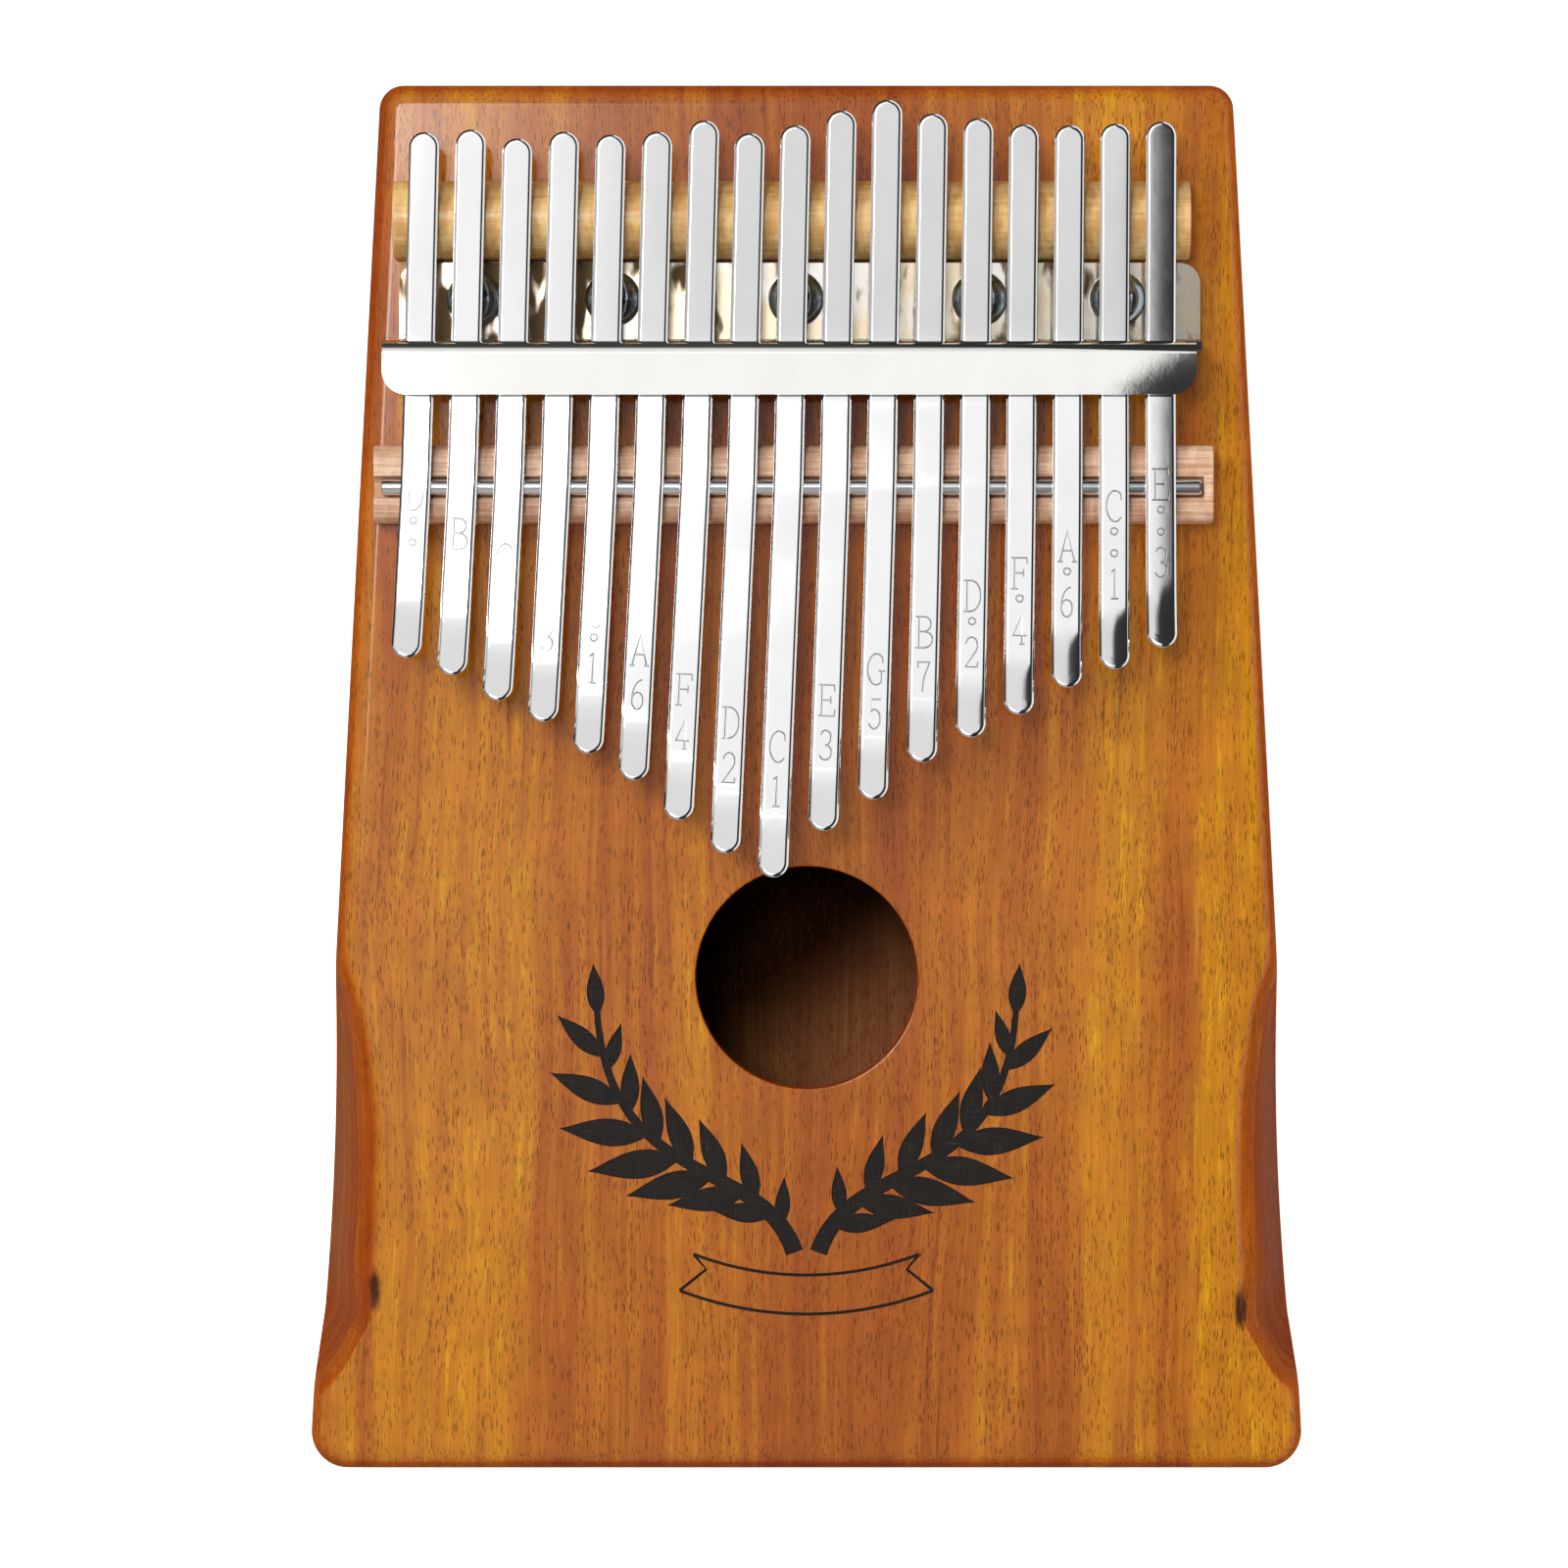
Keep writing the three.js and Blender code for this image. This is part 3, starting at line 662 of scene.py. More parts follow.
def outline(inset, head_radius, foot_radius, corner_steps, side_ys):
    """The body's plan outline, inset, with extra points down both sides."""
    slope = (FOOT_WIDTH - HEAD_WIDTH) / 2 / LENGTH
    lean = math.hypot(1, slope)
    end = LENGTH / 2 - inset

    def at(side, y):
        return Vector((side * (half_width(y) - inset * lean), y))

    def flank(side, ys):
        return [(at(side, y), Vector((-side, -slope)).normalized()) for y in ys]

    corners = [at(1, -end), at(1, end), at(-1, end), at(-1, -end)]

    def turn(k, radius):
        """The rounded k-th corner, anticlockwise from the foot's right."""
        return rounded_corner(corners[k - 1], corners[k], corners[(k + 1) % 4], radius, corner_steps)

    head = turn(1, head_radius) + turn(2, head_radius)
    foot = turn(3, foot_radius) + turn(0, foot_radius)
    return head + flank(-1, side_ys) + foot + flank(1, side_ys[::-1])


def front_inset(y):
    """How far the front face stops short of the outline: the roundover, or the deeper scoop."""

    def arc_inset(at):
        return SCOOP_INSET - (at - SCOOP_DEEPEST_Y) ** 2 / (2 * SCOOP_ARC)

    cut_inset = arc_inset(y)
    if y < SCOOP_FACET_Y:
        share = (y - SCOOP_FOOT_Y) / (SCOOP_FACET_Y - SCOOP_FOOT_Y)
        cut_inset = lerp(SCOOP_FOOT_INSET, arc_inset(SCOOP_FACET_Y), share)
    easing = 0.5
    return (EDGE + cut_inset + math.hypot(EDGE - cut_inset, easing)) / 2


def front_edge(y, steps):
    """The front edge's section at y, as (inset, height) from the face down to the side."""
    inset = front_inset(y)
    share = (inset - EDGE) / (SCOOP_INSET - EDGE)
    drop = lerp(EDGE, SCOOP_DEPTH, share)
    carved = smoothstep(inset, EDGE, EDGE + 1.5)
    handle = lerp(ROUND_HANDLE, 0.1, carved)
    dip = Vector((drop, -inset)).normalized() * SCOOP_HOLLOW * carved
    face = Vector((inset, BOARD_TOP))
    wall = Vector((0, BOARD_TOP - drop))
    crisp = lerp(0.62, 0.22, smoothstep(-y, -SCOOP_FACET_Y - 9, -SCOOP_FACET_Y))
    towards_wall = face + Vector((-lerp(ROUND_HANDLE, crisp, carved) * inset, 0))
    towards_face = wall + Vector((0, handle * drop)) + dip
    return bezier(face, towards_wall, towards_face, wall, steps)


def body_form():
    """The whole body's outer form: rounded edges, and a scoop down each side."""
    start, spacing = HEAD_Y - 8, 1.2
    count = int((start - SCOOP_FOOT_Y) / spacing)
    side_ys = [lerp(start, SCOOP_FOOT_Y, k / count) for k in range(count + 1)]
    around = outline(0, HEAD_CORNER, FOOT_CORNER, 14, side_ys)
    front_steps, back_steps = 22, 10
    sections = [front_edge(point.y, front_steps) for point, _ in around]
    rings = []
    for k in range(front_steps + 1):
        ring = []
        for (point, inward), section in zip(around, sections):
            inset, height = section[k]
            ring.append((*(point + inward * inset), height))
        rings.append(ring)
    for k in range(1, back_steps + 1):
        turn = math.pi / 2 * k / back_steps
        inset, height = EDGE * (1 - math.cos(turn)), EDGE * (1 - math.sin(turn))
        rings.append([(*(point + inward * inset), height) for point, inward in around])
    return loft(rings[::-1])


def line_with(obj, facing):
    """Gives the faces that look the given way the second material."""
    for face in obj.data.polygons:
        if face.normal.dot(Vector(facing)) > 0.99:
            face.material_index = 1


def make_back_plate(form, materials):
    woods = [materials["back"], materials["inside"]]
    plate = mesh_object("back_board", slab(form, -1, BACK_TOP), woods)
    line_with(plate, (0, 0, 1))
    return finish(plate, ["back_plate"])


def make_rim(form, materials):
    rim = mesh_object("side_frame", slab(form, *RIM_Z), [materials["rim"]])
    inside = [point for point, _ in outline(WALL, CHAMBER_CORNER, CHAMBER_CORNER, 12, [])]
    chamber = prism(inside, RIM_Z[0] - 1, RIM_Z[1] + 1)
    cut(rim, mesh_object("chamber", chamber, [materials["inside"]]))
    return finish(rim, ["side_rim"])


def sound_hole():
    """The sound hole with its softly broken edge."""
    break_edge = 0.35
    wide = HOLE_RADIUS + break_edge
    hole = lathe([
        (HOLE_RADIUS, BOARD_UNDER - 1),
        (HOLE_RADIUS, BOARD_TOP - break_edge),
        (HOLE_RADIUS + break_edge * 0.3, BOARD_TOP - break_edge * 0.3),
        (wide, BOARD_TOP),
        (wide, BOARD_TOP + 1),
    ], 128)
    bmesh.ops.translate(hole, vec=(0, HOLE_Y, 0), verts=hole.verts)
    return hole


def screw_places():
    """The bracket screws' middles, from their CAD nodes."""
    boxes = [node_box(f"bracket_screw_{k}") for k in range(1, 6)]
    return [((low.x + high.x) / 2, (low.y + high.y) / 2) for low, high in boxes]


def make_soundboard(form, materials):
    woods = [materials["face"], materials["inside"]]
    board = mesh_object("front_board", slab(form, BOARD_UNDER, BOARD_TOP + 1), woods)
    line_with(board, (0, 0, -1))
    pilot_radius = 1.9
    pilots = [
        prism(circle(x, y, pilot_radius, 24), BOARD_UNDER - 1, BOARD_TOP + 1)
        for x, y in screw_places()
    ]
    cut(board, joined([sound_hole(), *pilots]))
    emblem = mesh_object("emblem", joined(emblem_shapes()), [materials["burnt"]])
    cut(board, emblem, overlapping=True)
    return finish(board, ["soundboard"])


# ---------- burnt emblem: two leafy sprigs over an empty band ----------

BURN_DEPTH = 0.25
STEM_STEPS = 40
# Each pair of leaves: its step along the stem, and how long they are.
LEAVES = [(5, 8.5), (10, 10.5), (15, 12), (20, 12.5), (25, 12), (30, 10.5), (35, 8.5)]


def burn(points):
    """An outline as a cutter that sinks into the soundboard."""
    return prism(points, BOARD_TOP - BURN_DEPTH, BOARD_TOP + 1)


def leaf(root, direction, length, width):
    """A pointed leaf: its widest place is nearer the root."""
    along = direction.normalized()
    across = Vector((-along.y, along.x))
    steps = 12
    shares = [k / steps for k in range(steps + 1)]
    belly = [math.sin(math.pi * t**0.8) ** 1.15 * width / 2 for t in shares]
    right = [root + along * length * t - across * b for t, b in zip(shares, belly)]
    left = [root + along * length * t + across * b for t, b in zip(shares, belly)]
    return burn(right + left[-2:0:-1])


def ribbon_of(points, widths):
    """A flat stroke along points, anticlockwise."""
    points = [Vector(point) for point in points]
    behind, ahead = points[:1] + points, points[1:] + points[-1:]
    tangents = [(b - a).normalized() for a, b in zip(behind, ahead)]
    offsets = [Vector((-t.y, t.x)) * width / 2 for t, width in zip(tangents, widths)]
    right = [point - offset for point, offset in zip(points, offsets)]
    left = [point + offset for point, offset in zip(points, offsets)]
    return burn(right + left[::-1])


def sprig(side):
    """One leafy sprig that curves up and out from the middle."""
    bends = [(side * x, y) for x, y in ((1.6, -63.5), (6, -50), (27, -56), (28, -30))]
    stem = bezier(*bends, STEM_STEPS)
    widths = [lerp(2.4, 0.8, k / STEM_STEPS) for k in range(STEM_STEPS + 1)]
    shapes = [ribbon_of(stem, widths)]
    for k, (place, length) in enumerate(LEAVES):
        forward = (stem[place + 1] - stem[place - 1]).normalized()
        for turn in (-1, 1):
            spread = math.radians(44 - 2 * k) * turn
            heading = Matrix.Rotation(spread, 2) @ forward
            reach = length * (0.78 if turn == side else 1.0)
            shapes.append(leaf(stem[place] + forward * turn * 0.9, heading, reach, reach * 0.31))
    shapes.append(leaf(stem[-2], stem[-1] - stem[-3], 7.0, 2.4))
    return shapes


def empty_band():
    """A plain curved band with forked ends, drawn in outline under the sprigs."""
    line = 0.42
    radius, centre_y, half_angle, height = 42.0, -24.5, 21.0, 5.2
    outer, inner = (
        arc(0, centre_y, r, r, -90 - half_angle, -90 + half_angle, 36) for r in (radius + height, radius)
    )
    shapes = [ribbon_of(path, [line] * len(path)) for path in (outer, inner)]
    for at, side in ((0, -1), (-1, 1)):
        low, high = Vector(outer[at]), Vector(inner[at])
        middle = (low + high) / 2 + Vector((-2.6 * side, 0.4))
        shapes.append(ribbon_of([low, middle, high], [line] * 3))
    return shapes


def emblem_shapes():
    return sprig(-1) + sprig(1) + empty_band()


# ---------- rear bar, bridge and rod ----------


def make_rear_bar(materials):
    low, high = node_box("rear_bar")
    half = (high.y - low.y) / 2
    middle = (high.y + low.y) / 2
    section = [(low.y, low.z), (high.y, low.z)]
    section += arc(middle, high.z - half, half, half, 0, 180, 40)
    bar = mesh_object("tail_bar", run_along_x(section, low.x, high.x), [materials["maple"]])
    bevel(bar, 0.25, 2, 50)
    return finish(bar, ["rear_bar"])


def make_bridge(materials):
    low, high = node_box("bridge")
    round_radius = 2.2
    section = [(low.y, low.z), (high.y, low.z)]
    for y, start in ((high.y - round_radius, 0), (low.y + round_radius, 90)):
        section += arc(y, high.z - round_radius, round_radius, round_radius, start, start + 90, 14)
    block = mesh_object("rod_bridge", run_along_x(section, low.x, high.x), [materials["beech"]])
    rod_z = (ROD_LOW.z + ROD_HIGH.z) / 2
    half = 1.4
    groove = arc(ROD_Y, rod_z, half, half, 180, 360, 20)
    groove += [(ROD_Y + half, rod_z + 3), (ROD_Y - half, rod_z + 3)]
    cut(block, run_along_x(groove, low.x - 1, ROD_HIGH.x + 0.3))
    bevel(block, 0.22, 3, 50)
    return finish(block, ["bridge"])


def make_rod(materials):
    radius = (ROD_HIGH.z - ROD_LOW.z) / 2
    chamfer = 0.3
    half = (ROD_HIGH.x - ROD_LOW.x) / 2
    drops = ((chamfer, 0), (chamfer * 0.3, chamfer * 0.3), (0, chamfer))
    profile = [(radius - inwards, back - half) for inwards, back in drops]
    profile += [(r, -z) for r, z in reversed(profile)]
    turned = lathe(profile, 40)
    middle = (ROD_LOW + ROD_HIGH) / 2
    turned.transform(Matrix.Translation(middle) @ Matrix.Rotation(math.pi / 2, 4, "Y"))
    rod = mesh_object("steel_rod", turned, [materials["rod"]])
    return finish(rod, ["bridge_rod"])


# ---------- bracket and screws ----------

PLATE = 1.2
INNER_BEND = 0.7
# How far the flanges reach to the left and right, the rear lower one and the front upper one.
LOWER_FLANGE_X = (-54.2, 52.45)
UPPER_FLANGE_X = (-56.05, 51.45)
# How far each screw's cross is turned, in degrees.
SCREW_TURNS = (20, 63, 7, 48, 31)


def bracket_section():
    """The bracket's Z section as anticlockwise (y, z): rear flange low, front flange high."""
    low, high = node_box("bracket")
    outer = INNER_BEND + PLATE
    web = BRACKET_WEB_Y
    steps = 12
    section = [(high.y, low.z), (high.y, low.z + PLATE)]
    section += arc(web + INNER_BEND, low.z + outer, INNER_BEND, INNER_BEND, -90, -180, steps)
    section += arc(web - outer, high.z - outer, outer, outer, 0, 90, steps)
    section += [(low.y, high.z), (low.y, high.z - PLATE)]
    section += arc(web - outer, high.z - outer, INNER_BEND, INNER_BEND, 90, 0, steps)
    section += arc(web + INNER_BEND, low.z + outer, outer, outer, 180, 270, steps)
    return section


def corner_waste(x, y, side, end, radius, z0, z1):
    """What rounds off one corner of a flange."""
    flare = 1
    curve = arc(-radius, -radius, radius, radius, 0, 90, 16)
    curve += [(-radius, flare), (flare, flare), (flare, -radius)]
    points = [(x + side * px, y + end * py) for px, py in curve]
    return prism(points[::-1] if side == end else points, z0, z1)


def make_bracket(tines, materials):
    low, high = node_box("bracket")
    middle = (low.z + high.z) / 2
    plate = run_along_x(bracket_section(), low.x, high.x)
    plate = mesh_object("slotted_plate", plate, [materials["nickel"]])
    (lower_left, lower_right), (upper_left, upper_right) = LOWER_FLANGE_X, UPPER_FLANGE_X
    far = 2
    left, right, floor, roof = low.x - far, high.x + far, low.z - far, high.z + far
    near, back = low.y - far, high.y + far
    cut(plate, box((left, near, floor), (lower_left, back, middle)))
    cut(plate, box((upper_right, near, middle), (right, back, roof)))
    for side, lower, upper in ((-1, lower_left, upper_left), (1, lower_right, upper_right)):
        cut(plate, corner_waste(lower, high.y, side, 1, 2.8, floor, middle))
        cut(plate, corner_waste(upper, low.y, side, -1, 3.2, middle, roof))
    slot_reach = Vector((2.35, 2, 0.85))
    web = BRACKET_WEB_Y - PLATE / 2
    waste = []
    for tine in tines:
        x = tine.x - (web - ROD_Y) * math.tan(tine.heel_lean)
        slot = Vector((x, web, BOARD_TOP + CLAMP_HEIGHT))
        waste.append(box(slot - slot_reach, slot + slot_reach))
    waste += [prism(circle(x, y, 2.1, 32), floor, middle) for x, y in screw_places()]
    cut(plate, joined(waste))
    bevel(plate, 0.26, 3, 40)
    return finish(plate, ["bracket"])


def cross_recess(top, arm, depth):
    """A Phillips recess: two crossed wedges that taper to the bottom."""
    parts = []
    half = 0.46
    for turn in (0, math.pi / 2):
        rings = []
        for share, z in ((0.35, top - depth), (1.0, top), (1.1, top + 0.5)):
            reach, thick = arm * share, half * lerp(0.7, 1.0, share)
            corners = ((-reach, -thick), (reach, -thick), (reach, thick), (-reach, thick))
            rings.append([(x, y, z) for x, y in corners])
        wedge = loft(rings)
        bmesh.ops.rotate(wedge, cent=(0, 0, 0), matrix=Matrix.Rotation(turn, 3, "Z"), verts=wedge.verts)
        parts.append(wedge)
    return joined(parts)


def make_screw(index, x, y, materials):
    """A pan-head wood screw; its thread is hidden in the wood."""
    low, high = node_box(f"bracket_screw_{index}")
    head, height = (high.x - low.x) / 2, 2.3
    seat = high.z - height
    crest, root, pitch, threads = 1.75, 1.25, 1.2, 7
    profile = [(0.35, low.z), (1.2, low.z + 2.6)]
    for thread in range(threads):
        z = low.z + 3.0 + thread * pitch
        profile += [(root, z), (crest, z + 0.35), (crest, z + 0.5), (root, z + 0.85)]
    rim, steps = 0.2, 14
    profile += [(1.6, seat - 0.4), (1.6, seat), (head - 0.15, seat), (head, seat + rim)]
    for k in range(1, steps + 1):
        t = math.pi / 2 * k / steps
        dome = (height - rim) * math.sin(t) ** 0.9
        profile.append((head * math.cos(t) ** 0.75 + 0.02, seat + rim + dome))
    screw = mesh_object(f"cross_screw_{index}", lathe(profile, 56), [materials["zinc"]])
    cut(screw, cross_recess(high.z, 2.0, 1.5), overlapping=True)
    bevel(screw, 0.08, 2, 40)
    turn = Matrix.Rotation(math.radians(SCREW_TURNS[index - 1]), 4, "Z")
    screw.data.transform(Matrix.Translation((x, y, 0)) @ turn)
    return finish(screw, [f"bracket_screw_{index}"])


# ---------- tines ----------


class Tine:
    """One tine: a strip of steel whose own Y runs along it from the rod, tail positive."""

    def __init__(self, index, note):
        self.key = f"{index + 1:02d}_{note}"
        self.note = note
        straightened = (index - STRAIGHTENING) / (len(NOTES) - 1 - STRAIGHTENING)
        leaning = 1 - max(0.0, straightened)
        self.heel_lean = HEEL_LEAN * leaning
        self.blade_lean = BLADE_LEAN * leaning
        joint = next(j for j in frame["joints"] if j["name"] == f"pluck_{self.key}")
        self.x = joint["pos_m"][0] / MM
        self.reach = self.length_of("blade", 0) + HALVES_APART / 2
        self.tail = self.length_of("heel", 1) + HALVES_APART / 2
        self.path = self.make_path()

    def length_of(self, part, end):
        """A CAD half's length, measured along its own lean."""
        lean = (self.blade_lean, self.heel_lean)[end]
        low, high = node_box(f"tine_{self.key}_{part}")
        tip = (ROD_Y - low.y, high.y - ROD_Y)[end]
        return tip / math.cos(lean) - HALVES_APART / 2

    def make_path(self):
        """The middle line in plan, which bends smoothly from the blade's lean to the heel's."""
        step, bend = 0.25, 5.0
        path = {0: (self.x, ROD_Y)}
        for way, length in ((-1, self.reach), (1, self.tail)):
            x, y = path[0]
            for k in range(1, int(length / step) + 3):
                along = way * (k - 0.5) * step
                lean = lerp(self.blade_lean, self.heel_lean, smoothstep(along, -bend, bend))
                x -= way * step * math.sin(lean)
                y += way * step * math.cos(lean)
                path[way * k] = (x, y)
        self.step = step
        return path

    def height(self, y):
        """The middle of the strip's thickness above the soundboard, with its bends eased."""
        window = (-1.5, -0.9, -0.3, 0.3, 0.9, 1.5)
        return sum(self.sharp_height(y + w) for w in window) / len(window)

    def sharp_height(self, y):
        rear, clamp_rear, clamp_front = (v - ROD_Y for v in (REAR_Y, BRACKET_WEB_Y, BRACKET_FRONT_Y))
        if y >= clamp_rear:
            return lerp(CLAMP_HEIGHT, REST_HEIGHT, (y - clamp_rear) / (rear - clamp_rear))
        if y >= clamp_front:
            return CLAMP_HEIGHT
        if y >= 0:
            return lerp(REST_HEIGHT, CLAMP_HEIGHT, y / clamp_front)
        past = max(0.0, -y - (self.reach - TIP_LENGTH))
        bent = min(past, TIP_BEND)
        return REST_HEIGHT - BLADE_RISE * y + TIP_SLOPE * (bent**2 / (2 * TIP_BEND) + past - bent)

    def place(self, x, y, z):
        """A point across, along and above the strip's middle, in the row frame."""
        cell = y / self.step
        low = math.floor(cell)
        a, b = Vector(self.path[low]), Vector(self.path[low + 1])
        along = (b - a).normalized()
        across = Vector((along.y, -along.x))
        plan = a.lerp(b, cell - low) + across * x
        return (plan.x, plan.y, BOARD_TOP + self.height(y) + z)


def edge_drop(edge, inset):
    """How far a surface has dropped at a distance in from the strip's edge."""
    for (outer, low), (inner, high) in zip(edge[::-1], edge[-2::-1]):
        if inset <= inner:
            return lerp(low, high, (inset - outer) / (inner - outer))
    return 0.0


def tine_side(edge, from_end, crown):
    """Half of a face of the strip, as (x, drop) from its middle out to its side."""
    half = TINE_WIDTH / 2
    inner = max(0.0, half - from_end)
    insets = [half - share * (half - edge[0][0]) for share in (0.0, 0.3, 0.6, 0.85, 0.96)]
    insets += [inset for inset, _ in edge]
    side = []
    for inset in insets:
        x = math.sqrt(max(0.0, (half - inset) ** 2 - inner**2))
        side.append((x, edge_drop(edge, min(inset, from_end)) + crown * x * x))
    return side


def tine_ring(from_end, crown):
    """The strip's section: (x, z) anticlockwise from the middle of the top, seen from the tail."""
    thick = TINE_THICKNESS / 2
    top = [(x, thick - drop) for x, drop in tine_side(TINE_EDGE, from_end, crown)]
    under = [(x, drop - thick) for x, drop in tine_side(TINE_UNDER_EDGE, from_end, 0.0)]
    left = [(-x, z) for x, z in top] + [(-x, z) for x, z in under[::-1]]
    right = under[1:] + top[:0:-1]
    return left + right


def make_tine(tine, materials):
    """The whole strip, tip to tail, in one piece in place of its two CAD halves, its lean easing from one
    to the other at the rod.
    """
    round_steps, half = 12, TINE_WIDTH / 2
    ends = [half * (1 - math.cos(math.pi / 2 * k / round_steps)) for k in range(round_steps + 1)]
    spacing = 0.9
    straight = int((tine.reach + tine.tail - TINE_WIDTH) / spacing)
    ys = [-tine.reach + d for d in ends]
    ys += [lerp(-tine.reach + half, tine.tail - half, k / straight) for k in range(1, straight)]
    ys += [tine.tail - d for d in reversed(ends)]
    rings = []
    for y in ys:
        from_end = max(0.0, min(y + tine.reach, tine.tail - y))
        crown = lerp(TIP_CROWN, TINE_CROWN, smoothstep(y + tine.reach, TIP_LENGTH - 2, TIP_LENGTH))
        rings.append([tine.place(x, y, z) for x, z in tine_ring(from_end, crown)])
    bm = loft(rings)
    bmesh.ops.remove_doubles(bm, verts=bm.verts, dist=2e-4)
    bmesh.ops.dissolve_degenerate(bm, edges=bm.edges, dist=1e-4)
    strip = mesh_object(f"key_{tine.key}", bm, [materials["steel"]])
    cut(strip, stamp_cutter(tine), overlapping=True)
    nodes = [f"tine_{tine.key}_heel", f"tine_{tine.key}_blade"]
    finish(strip, nodes, body=None, crease=16)
    start = [v * MM for v in tine.place(0, 1.0, 0)]
    end = [v * MM for v in tine.place(0, -0.5 * tine.reach, 0)]
    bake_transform(strip)
    return strip


# ---------- stamped note letters and numbers ----------

STROKE = 0.2
STAMP_DEPTH = 0.04
LETTER_SIZE = (1.2, 2.05)
DIGIT_SIZE = (0.98, 1.95)


def serif(x, y, reach=0.32):
    return [(x - reach, y), (x + reach, y)]


def bowl(cx, cy, rx, ry, x0):
    """A half-round stroke that starts and ends on a stem at x0."""
    return [(x0, cy + ry)] + arc(cx, cy, rx, ry, 90, -90, 12) + [(x0, cy - ry)]


STEM = [(-0.6, 1), (-0.6, -1)]
STEM_ENDS = [serif(-0.7, 1, 0.25), serif(-0.7, -1, 0.25)]
ARMS = [[(-0.95, 1), (0.75, 1), (0.8, 0.62)], [(-0.6, 0.02), (0.4, 0.02)], [(0.4, 0.25), (0.4, -0.2)]]
# Each glyph's strokes, in a box that reaches from -1 to 1 both ways.
GLYPHS = {
    "c": [arc(0.1, 0, 0.95, 1, 48, 312, 24), [(0.74, 0.74), (0.8, 0.4)]],
    "d": [STEM, bowl(-0.2, 0, 1.1, 1, -0.6), *STEM_ENDS],
    "e": [STEM, *ARMS, [(-0.95, -1), (0.8, -1), (0.9, -0.58)]],
    "f": [STEM, *ARMS, serif(-0.6, -1)],
    "g": [arc(0.05, 0, 0.95, 1, 48, 305, 24), [(0.7, 0.74), (0.76, 0.42)],
          [(0.62, -0.84), (0.62, -0.1)], serif(0.62, -0.1)],
    "a": [[(-0.8, -1), (0, 1), (0.8, -1)], [(-0.5, -0.28), (0.5, -0.28)],
          serif(-0.8, -1, 0.25), serif(0.8, -1, 0.25)],
    "b": [STEM, bowl(-0.05, 0.52, 0.75, 0.48, -0.6), bowl(0.0, -0.48, 0.9, 0.52, -0.6), *STEM_ENDS],
    "1": [[(-0.35, 0.82), (0.05, 1), (0.05, -1)], serif(0.05, -1, 0.45)],
    "2": [arc(0, 0.42, 0.78, 0.58, 165, -35, 14) + [(-0.8, -1), (0.8, -1), (0.88, -0.7)]],
    "3": [arc(-0.05, 0.5, 0.7, 0.5, 155, -90, 14), arc(-0.05, -0.5, 0.82, 0.5, 90, -155, 14)],
    "4": [[(0.35, -1), (0.35, 1), (-0.85, -0.42), (0.9, -0.42)], serif(0.35, -1, 0.3)],
    "5": [[(0.7, 1), (-0.5, 1), (-0.58, 0.14)] + arc(-0.05, -0.35, 0.8, 0.65, 128, -150, 16)],
    "6": [arc(0.55, -0.35, 1.3, 1.35, 95, 170, 12), arc(0, -0.42, 0.74, 0.58, 0, 360, 24)],
    "7": [[(-0.75, 0.62), (-0.75, 1), (0.8, 1), (0.05, -0.1), (-0.1, -1)]],
}


def groove(tine, path):
    """A V-shaped cutter along a path in the tine's own (x, y), which overruns both its ends."""
    points = [Vector(point) for point in path]
    ways = [(b - a).normalized() for a, b in zip(points, points[1:])]
    overrun = STROKE * 0.3
    points[0] -= ways[0] * overrun
    points[-1] += ways[-1] * overrun
    surface, lift, bottom_share = TINE_THICKNESS / 2, 0.03, 0.16
    rings = []
    for point, behind, ahead in zip(points, ways[:1] + ways, ways + ways[-1:]):
        tangent = (behind + ahead).normalized()
        stretch = min(1.6, 1 / max(0.3, tangent.dot(ahead)))
        across = Vector((tangent.y, -tangent.x)) * STROKE / 2 * stretch
        bottom, top = across * bottom_share, across * (1 + lift / STAMP_DEPTH)
        ring = ((bottom, -STAMP_DEPTH), (top, lift), (-top, lift), (-bottom, -STAMP_DEPTH))
        rings.append([tine.place(*(point + offset), surface + z) for offset, z in ring])
    return loft(rings)


def stamp_cutter(tine):
    """The tine's number nearest the tip, a ring for each octave up, and its letter."""
    letter, octave = tine.note
    number = str(SCALE.index(letter) + 1)
    margin, digit_gap, ring_radius = 1.15, 1.9, 0.45
    y = -tine.reach + TIP_LENGTH + margin + DIGIT_SIZE[1]
    places = [(number, DIGIT_SIZE, y)]
    y += DIGIT_SIZE[1]
    paths = []
    for k in range(int(octave) - 4):
        y += 2.1 if k == 0 else 2.9
        paths.append(arc(0, y, ring_radius, ring_radius, 0, 360, 16))
    y += 1.3 if paths else digit_gap
    places.append((letter, LETTER_SIZE, y + LETTER_SIZE[1]))
    for glyph, (width, height), middle in places:
        for path in GLYPHS[glyph]:
            paths.append([(px * width, middle + py * height) for px, py in path])
    return joined([groove(tine, path) for path in paths])


# ---------- stage ----------


def make_floor():
    """A white floor that the object neither mirrors nor takes light from."""
    floor = mesh_object("floor", box((-3000, -3000, -20), (3000, 3000, 0)), [white_floor()])
    floor.data.transform(Matrix.Scale(MM, 4))
    floor.visible_glossy = False
    floor.visible_diffuse = False


def make_camera():
    data = bpy.data.cameras.new("camera")
    data.sensor_width = SENSOR
    data.lens = SENSOR * CAMERA_HEIGHT / VIEW_WIDTH
    data.clip_start = 0.01
    camera = bpy.data.objects.new("camera", data)
    camera.location = Vector((CAMERA_X, CAMERA_Y, BOARD_TOP + CAMERA_HEIGHT)) * MM
    bpy.context.collection.objects.link(camera)
    bpy.context.scene.camera = camera


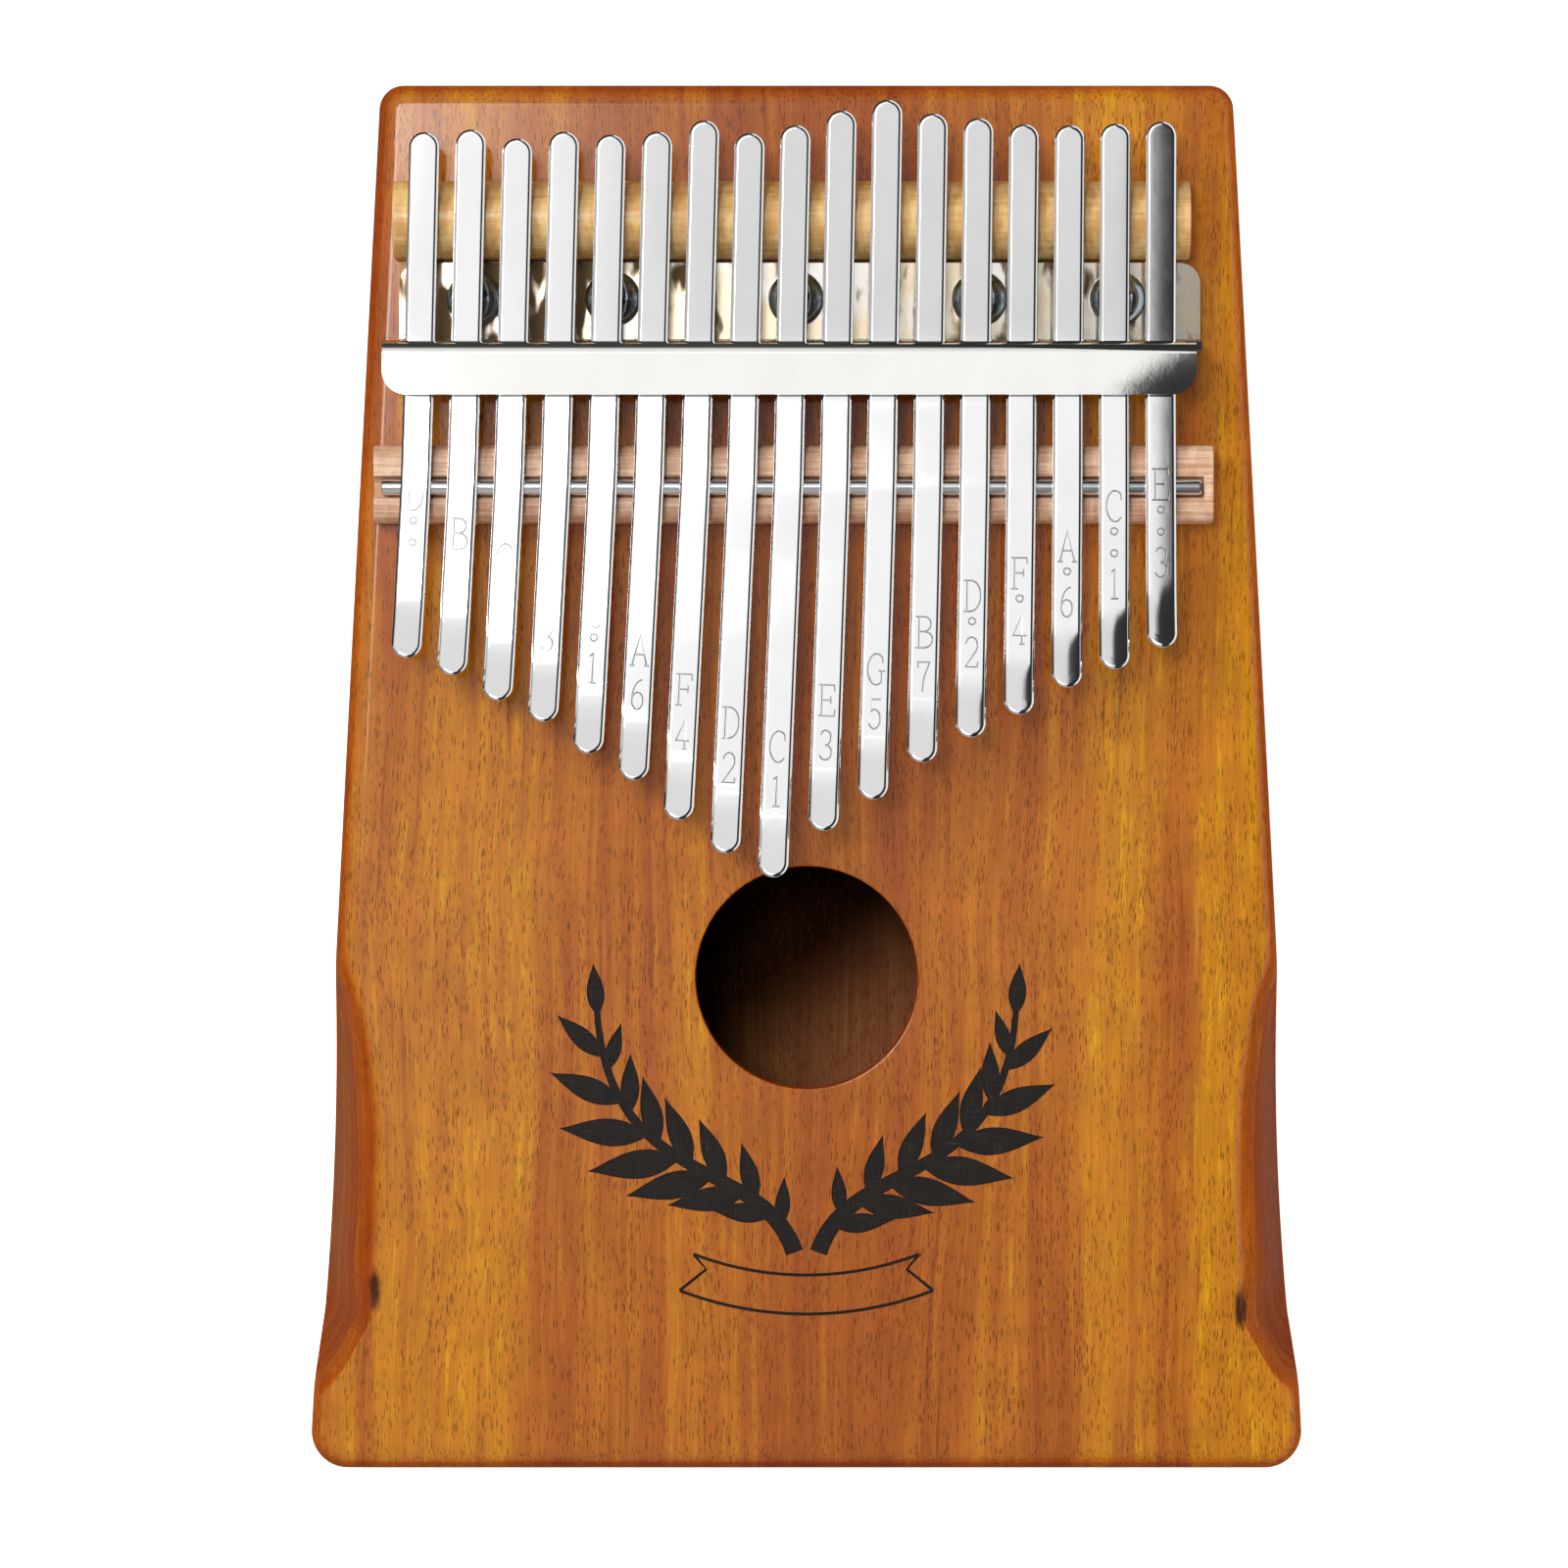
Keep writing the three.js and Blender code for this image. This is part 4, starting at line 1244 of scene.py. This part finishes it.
def area_light(name, place, side, radiance, turn=None, mirrored=True):
    """A soft square light, in metres, by how bright its face looks. It faces the origin unless turned."""
    data = bpy.data.lights.new(name, "AREA")
    data.shape = "SQUARE"
    data.size = side
    data.energy = radiance * math.pi * side * side
    light = bpy.data.objects.new(name, data)
    light.location = place
    light.rotation_euler = turn or Vector(place).to_track_quat("Z", "Y").to_euler()
    light.visible_glossy = mirrored
    bpy.context.collection.objects.link(light)
    return data


def soften_edges(data):
    """Fades a light's face away from its middle, so that its mirror image has no hard edge.

    Its right corner is dimmed where the left tines mirror it, or their stamps would drown in glare.
    """
    data.use_nodes = True
    nodes = Nodes(data.node_tree)
    geometry = nodes.add("ShaderNodeNewGeometry")
    across, up, _ = nodes.apart(geometry.outputs["Parametric"])
    sides = [nodes.math("ABSOLUTE", nodes.minus(way, 0.5)) for way in (across, up)]
    glow = nodes.band(nodes.math("MAXIMUM", *sides), 0.2, 0.5, 1.0, 0.0)
    glow = nodes.math("POWER", glow, 3.0)
    x, y, _ = nodes.apart(geometry.outputs["Position"])
    corner = nodes.times(nodes.band(x, -0.15, -0.138), nodes.band(y, 0.3, 0.32, 1.0, 0.0))
    # The soundboard's top left mirrors this strip of the corner, which stays bright.
    strip = nodes.near(y, 0.247, 0.01, 0.016)
    dimmed = nodes.times(corner, nodes.minus(1.0, strip))
    glow = nodes.times(glow, nodes.times_plus(dimmed, -0.95, 1.0))
    emission = nodes.add("ShaderNodeEmission", {"Strength": glow})
    nodes.add("ShaderNodeOutputLight", {"Surface": emission.outputs[0]})


def make_lights():
    """A softbox over the left of the head, a lower key beyond it, and fills for foot and right."""
    turned = (0, 0, math.radians(49.8))
    soften_edges(area_light("softbox", (-0.319, 0.287, 1.5), 0.66, 15.0, turned))
    area_light("key", (-1.1, 0.9, 1.3), 0.6, 12.0, mirrored=False)
    area_light("side", (1.5, -0.3, 0.5), 1.0, 2.2, mirrored=False)
    area_light("fill", (0.2, -1.7, 1.5), 1.1, 1.2, (math.radians(48), 0, 0), mirrored=False)


def make_world():
    """A pale studio seen from the object: bright overhead, a dark gap on the right, dim walls.

    It is laid out by two angles from straight up, in degrees: towards the head and to the right.
    """
    world = bpy.data.worlds.new("studio")
    bpy.context.scene.world = world
    world.use_nodes = True
    nodes = Nodes(world.node_tree)
    x, y, z = nodes.apart(nodes.add("ShaderNodeTexCoord").outputs["Generated"])
    headward, rightward = (
        nodes.times(nodes.math("ARCTAN2", way, z), math.degrees(1)) for way in (y, x)
    )
    ahead = nodes.levels(headward, [
        (-90, 0.45), (-60, 0.5), (-30, 0.42), (-3.4, 0.42), (-2.4, 0.76), (0, 0.79), (3.5, 1.0),
        (14, 1.02), (26, 0.86), (42, 0.72), (50, 0.4), (57, 0.06), (90, 0.05),
    ])
    aside = nodes.levels(rightward, [(-90, 0.4), (-50, 0.75), (-10, 1.0), (4, 0.97), (90, 0.97)])
    colour = nodes.mix(1.0, ahead, aside, "MULTIPLY")
    # A pale card that the tails of the left tines mirror.
    card = nodes.times(nodes.near(headward, -1.2, 2.0, 3.6), nodes.near(rightward, -6.0, 2.8, 5.5))
    colour = nodes.mix(card, colour, grey(1.0))
    # The gap starts further right for the tines' tails, and again for their blades, than for the bracket.
    tails, blades = nodes.band(headward, 1.5, 3, 3.28, 3.12), nodes.band(headward, 5, 7, 0.0, 0.4)
    gap = nodes.minus(rightward, nodes.math("ADD", tails, blades))
    colour = nodes.mix(nodes.band(gap, 0.0, 0.36), colour, grey(0.03))
    colour = nodes.mix(nodes.band(rightward, 58, 66), colour, grey(0.9))
    below = nodes.mix(nodes.band(x, -0.3, 0.1), (0.3, 0.22, 0.12, 1), (0.2, 0.165, 0.13, 1))
    colour = nodes.mix(nodes.band(z, -0.02, -0.2), colour, below)
    background = nodes.add("ShaderNodeBackground", {"Color": colour, "Strength": 1.0})
    nodes.add("ShaderNodeOutputWorld", {"Surface": background.outputs[0]})


def make_stage():
    make_floor()
    make_camera()
    make_lights()
    make_world()
    bpy.context.scene.view_settings.view_transform = "Standard"


# ---------- assembly ----------


def make_inner_block(materials):
    """The CAD block is the right shape; it only needs its wood."""
    block = frame["nodes"]["screw_block"]
    for slot in block.material_slots:
        slot.material = materials["raw"]


def main():
    materials = make_materials()
    make_stage()
    form = body_form()
    make_soundboard(form, materials)
    make_rim(form, materials)
    make_back_plate(form, materials)
    form.free()
    make_inner_block(materials)
    make_rear_bar(materials)
    make_bridge(materials)
    make_rod(materials)
    tines = [Tine(index, note) for index, note in enumerate(NOTES)]
    make_bracket(tines, materials)
    for index, (x, y) in enumerate(screw_places(), 1):
        make_screw(index, x, y, materials)
    for tine in tines:
        make_tine(tine, materials)


main()
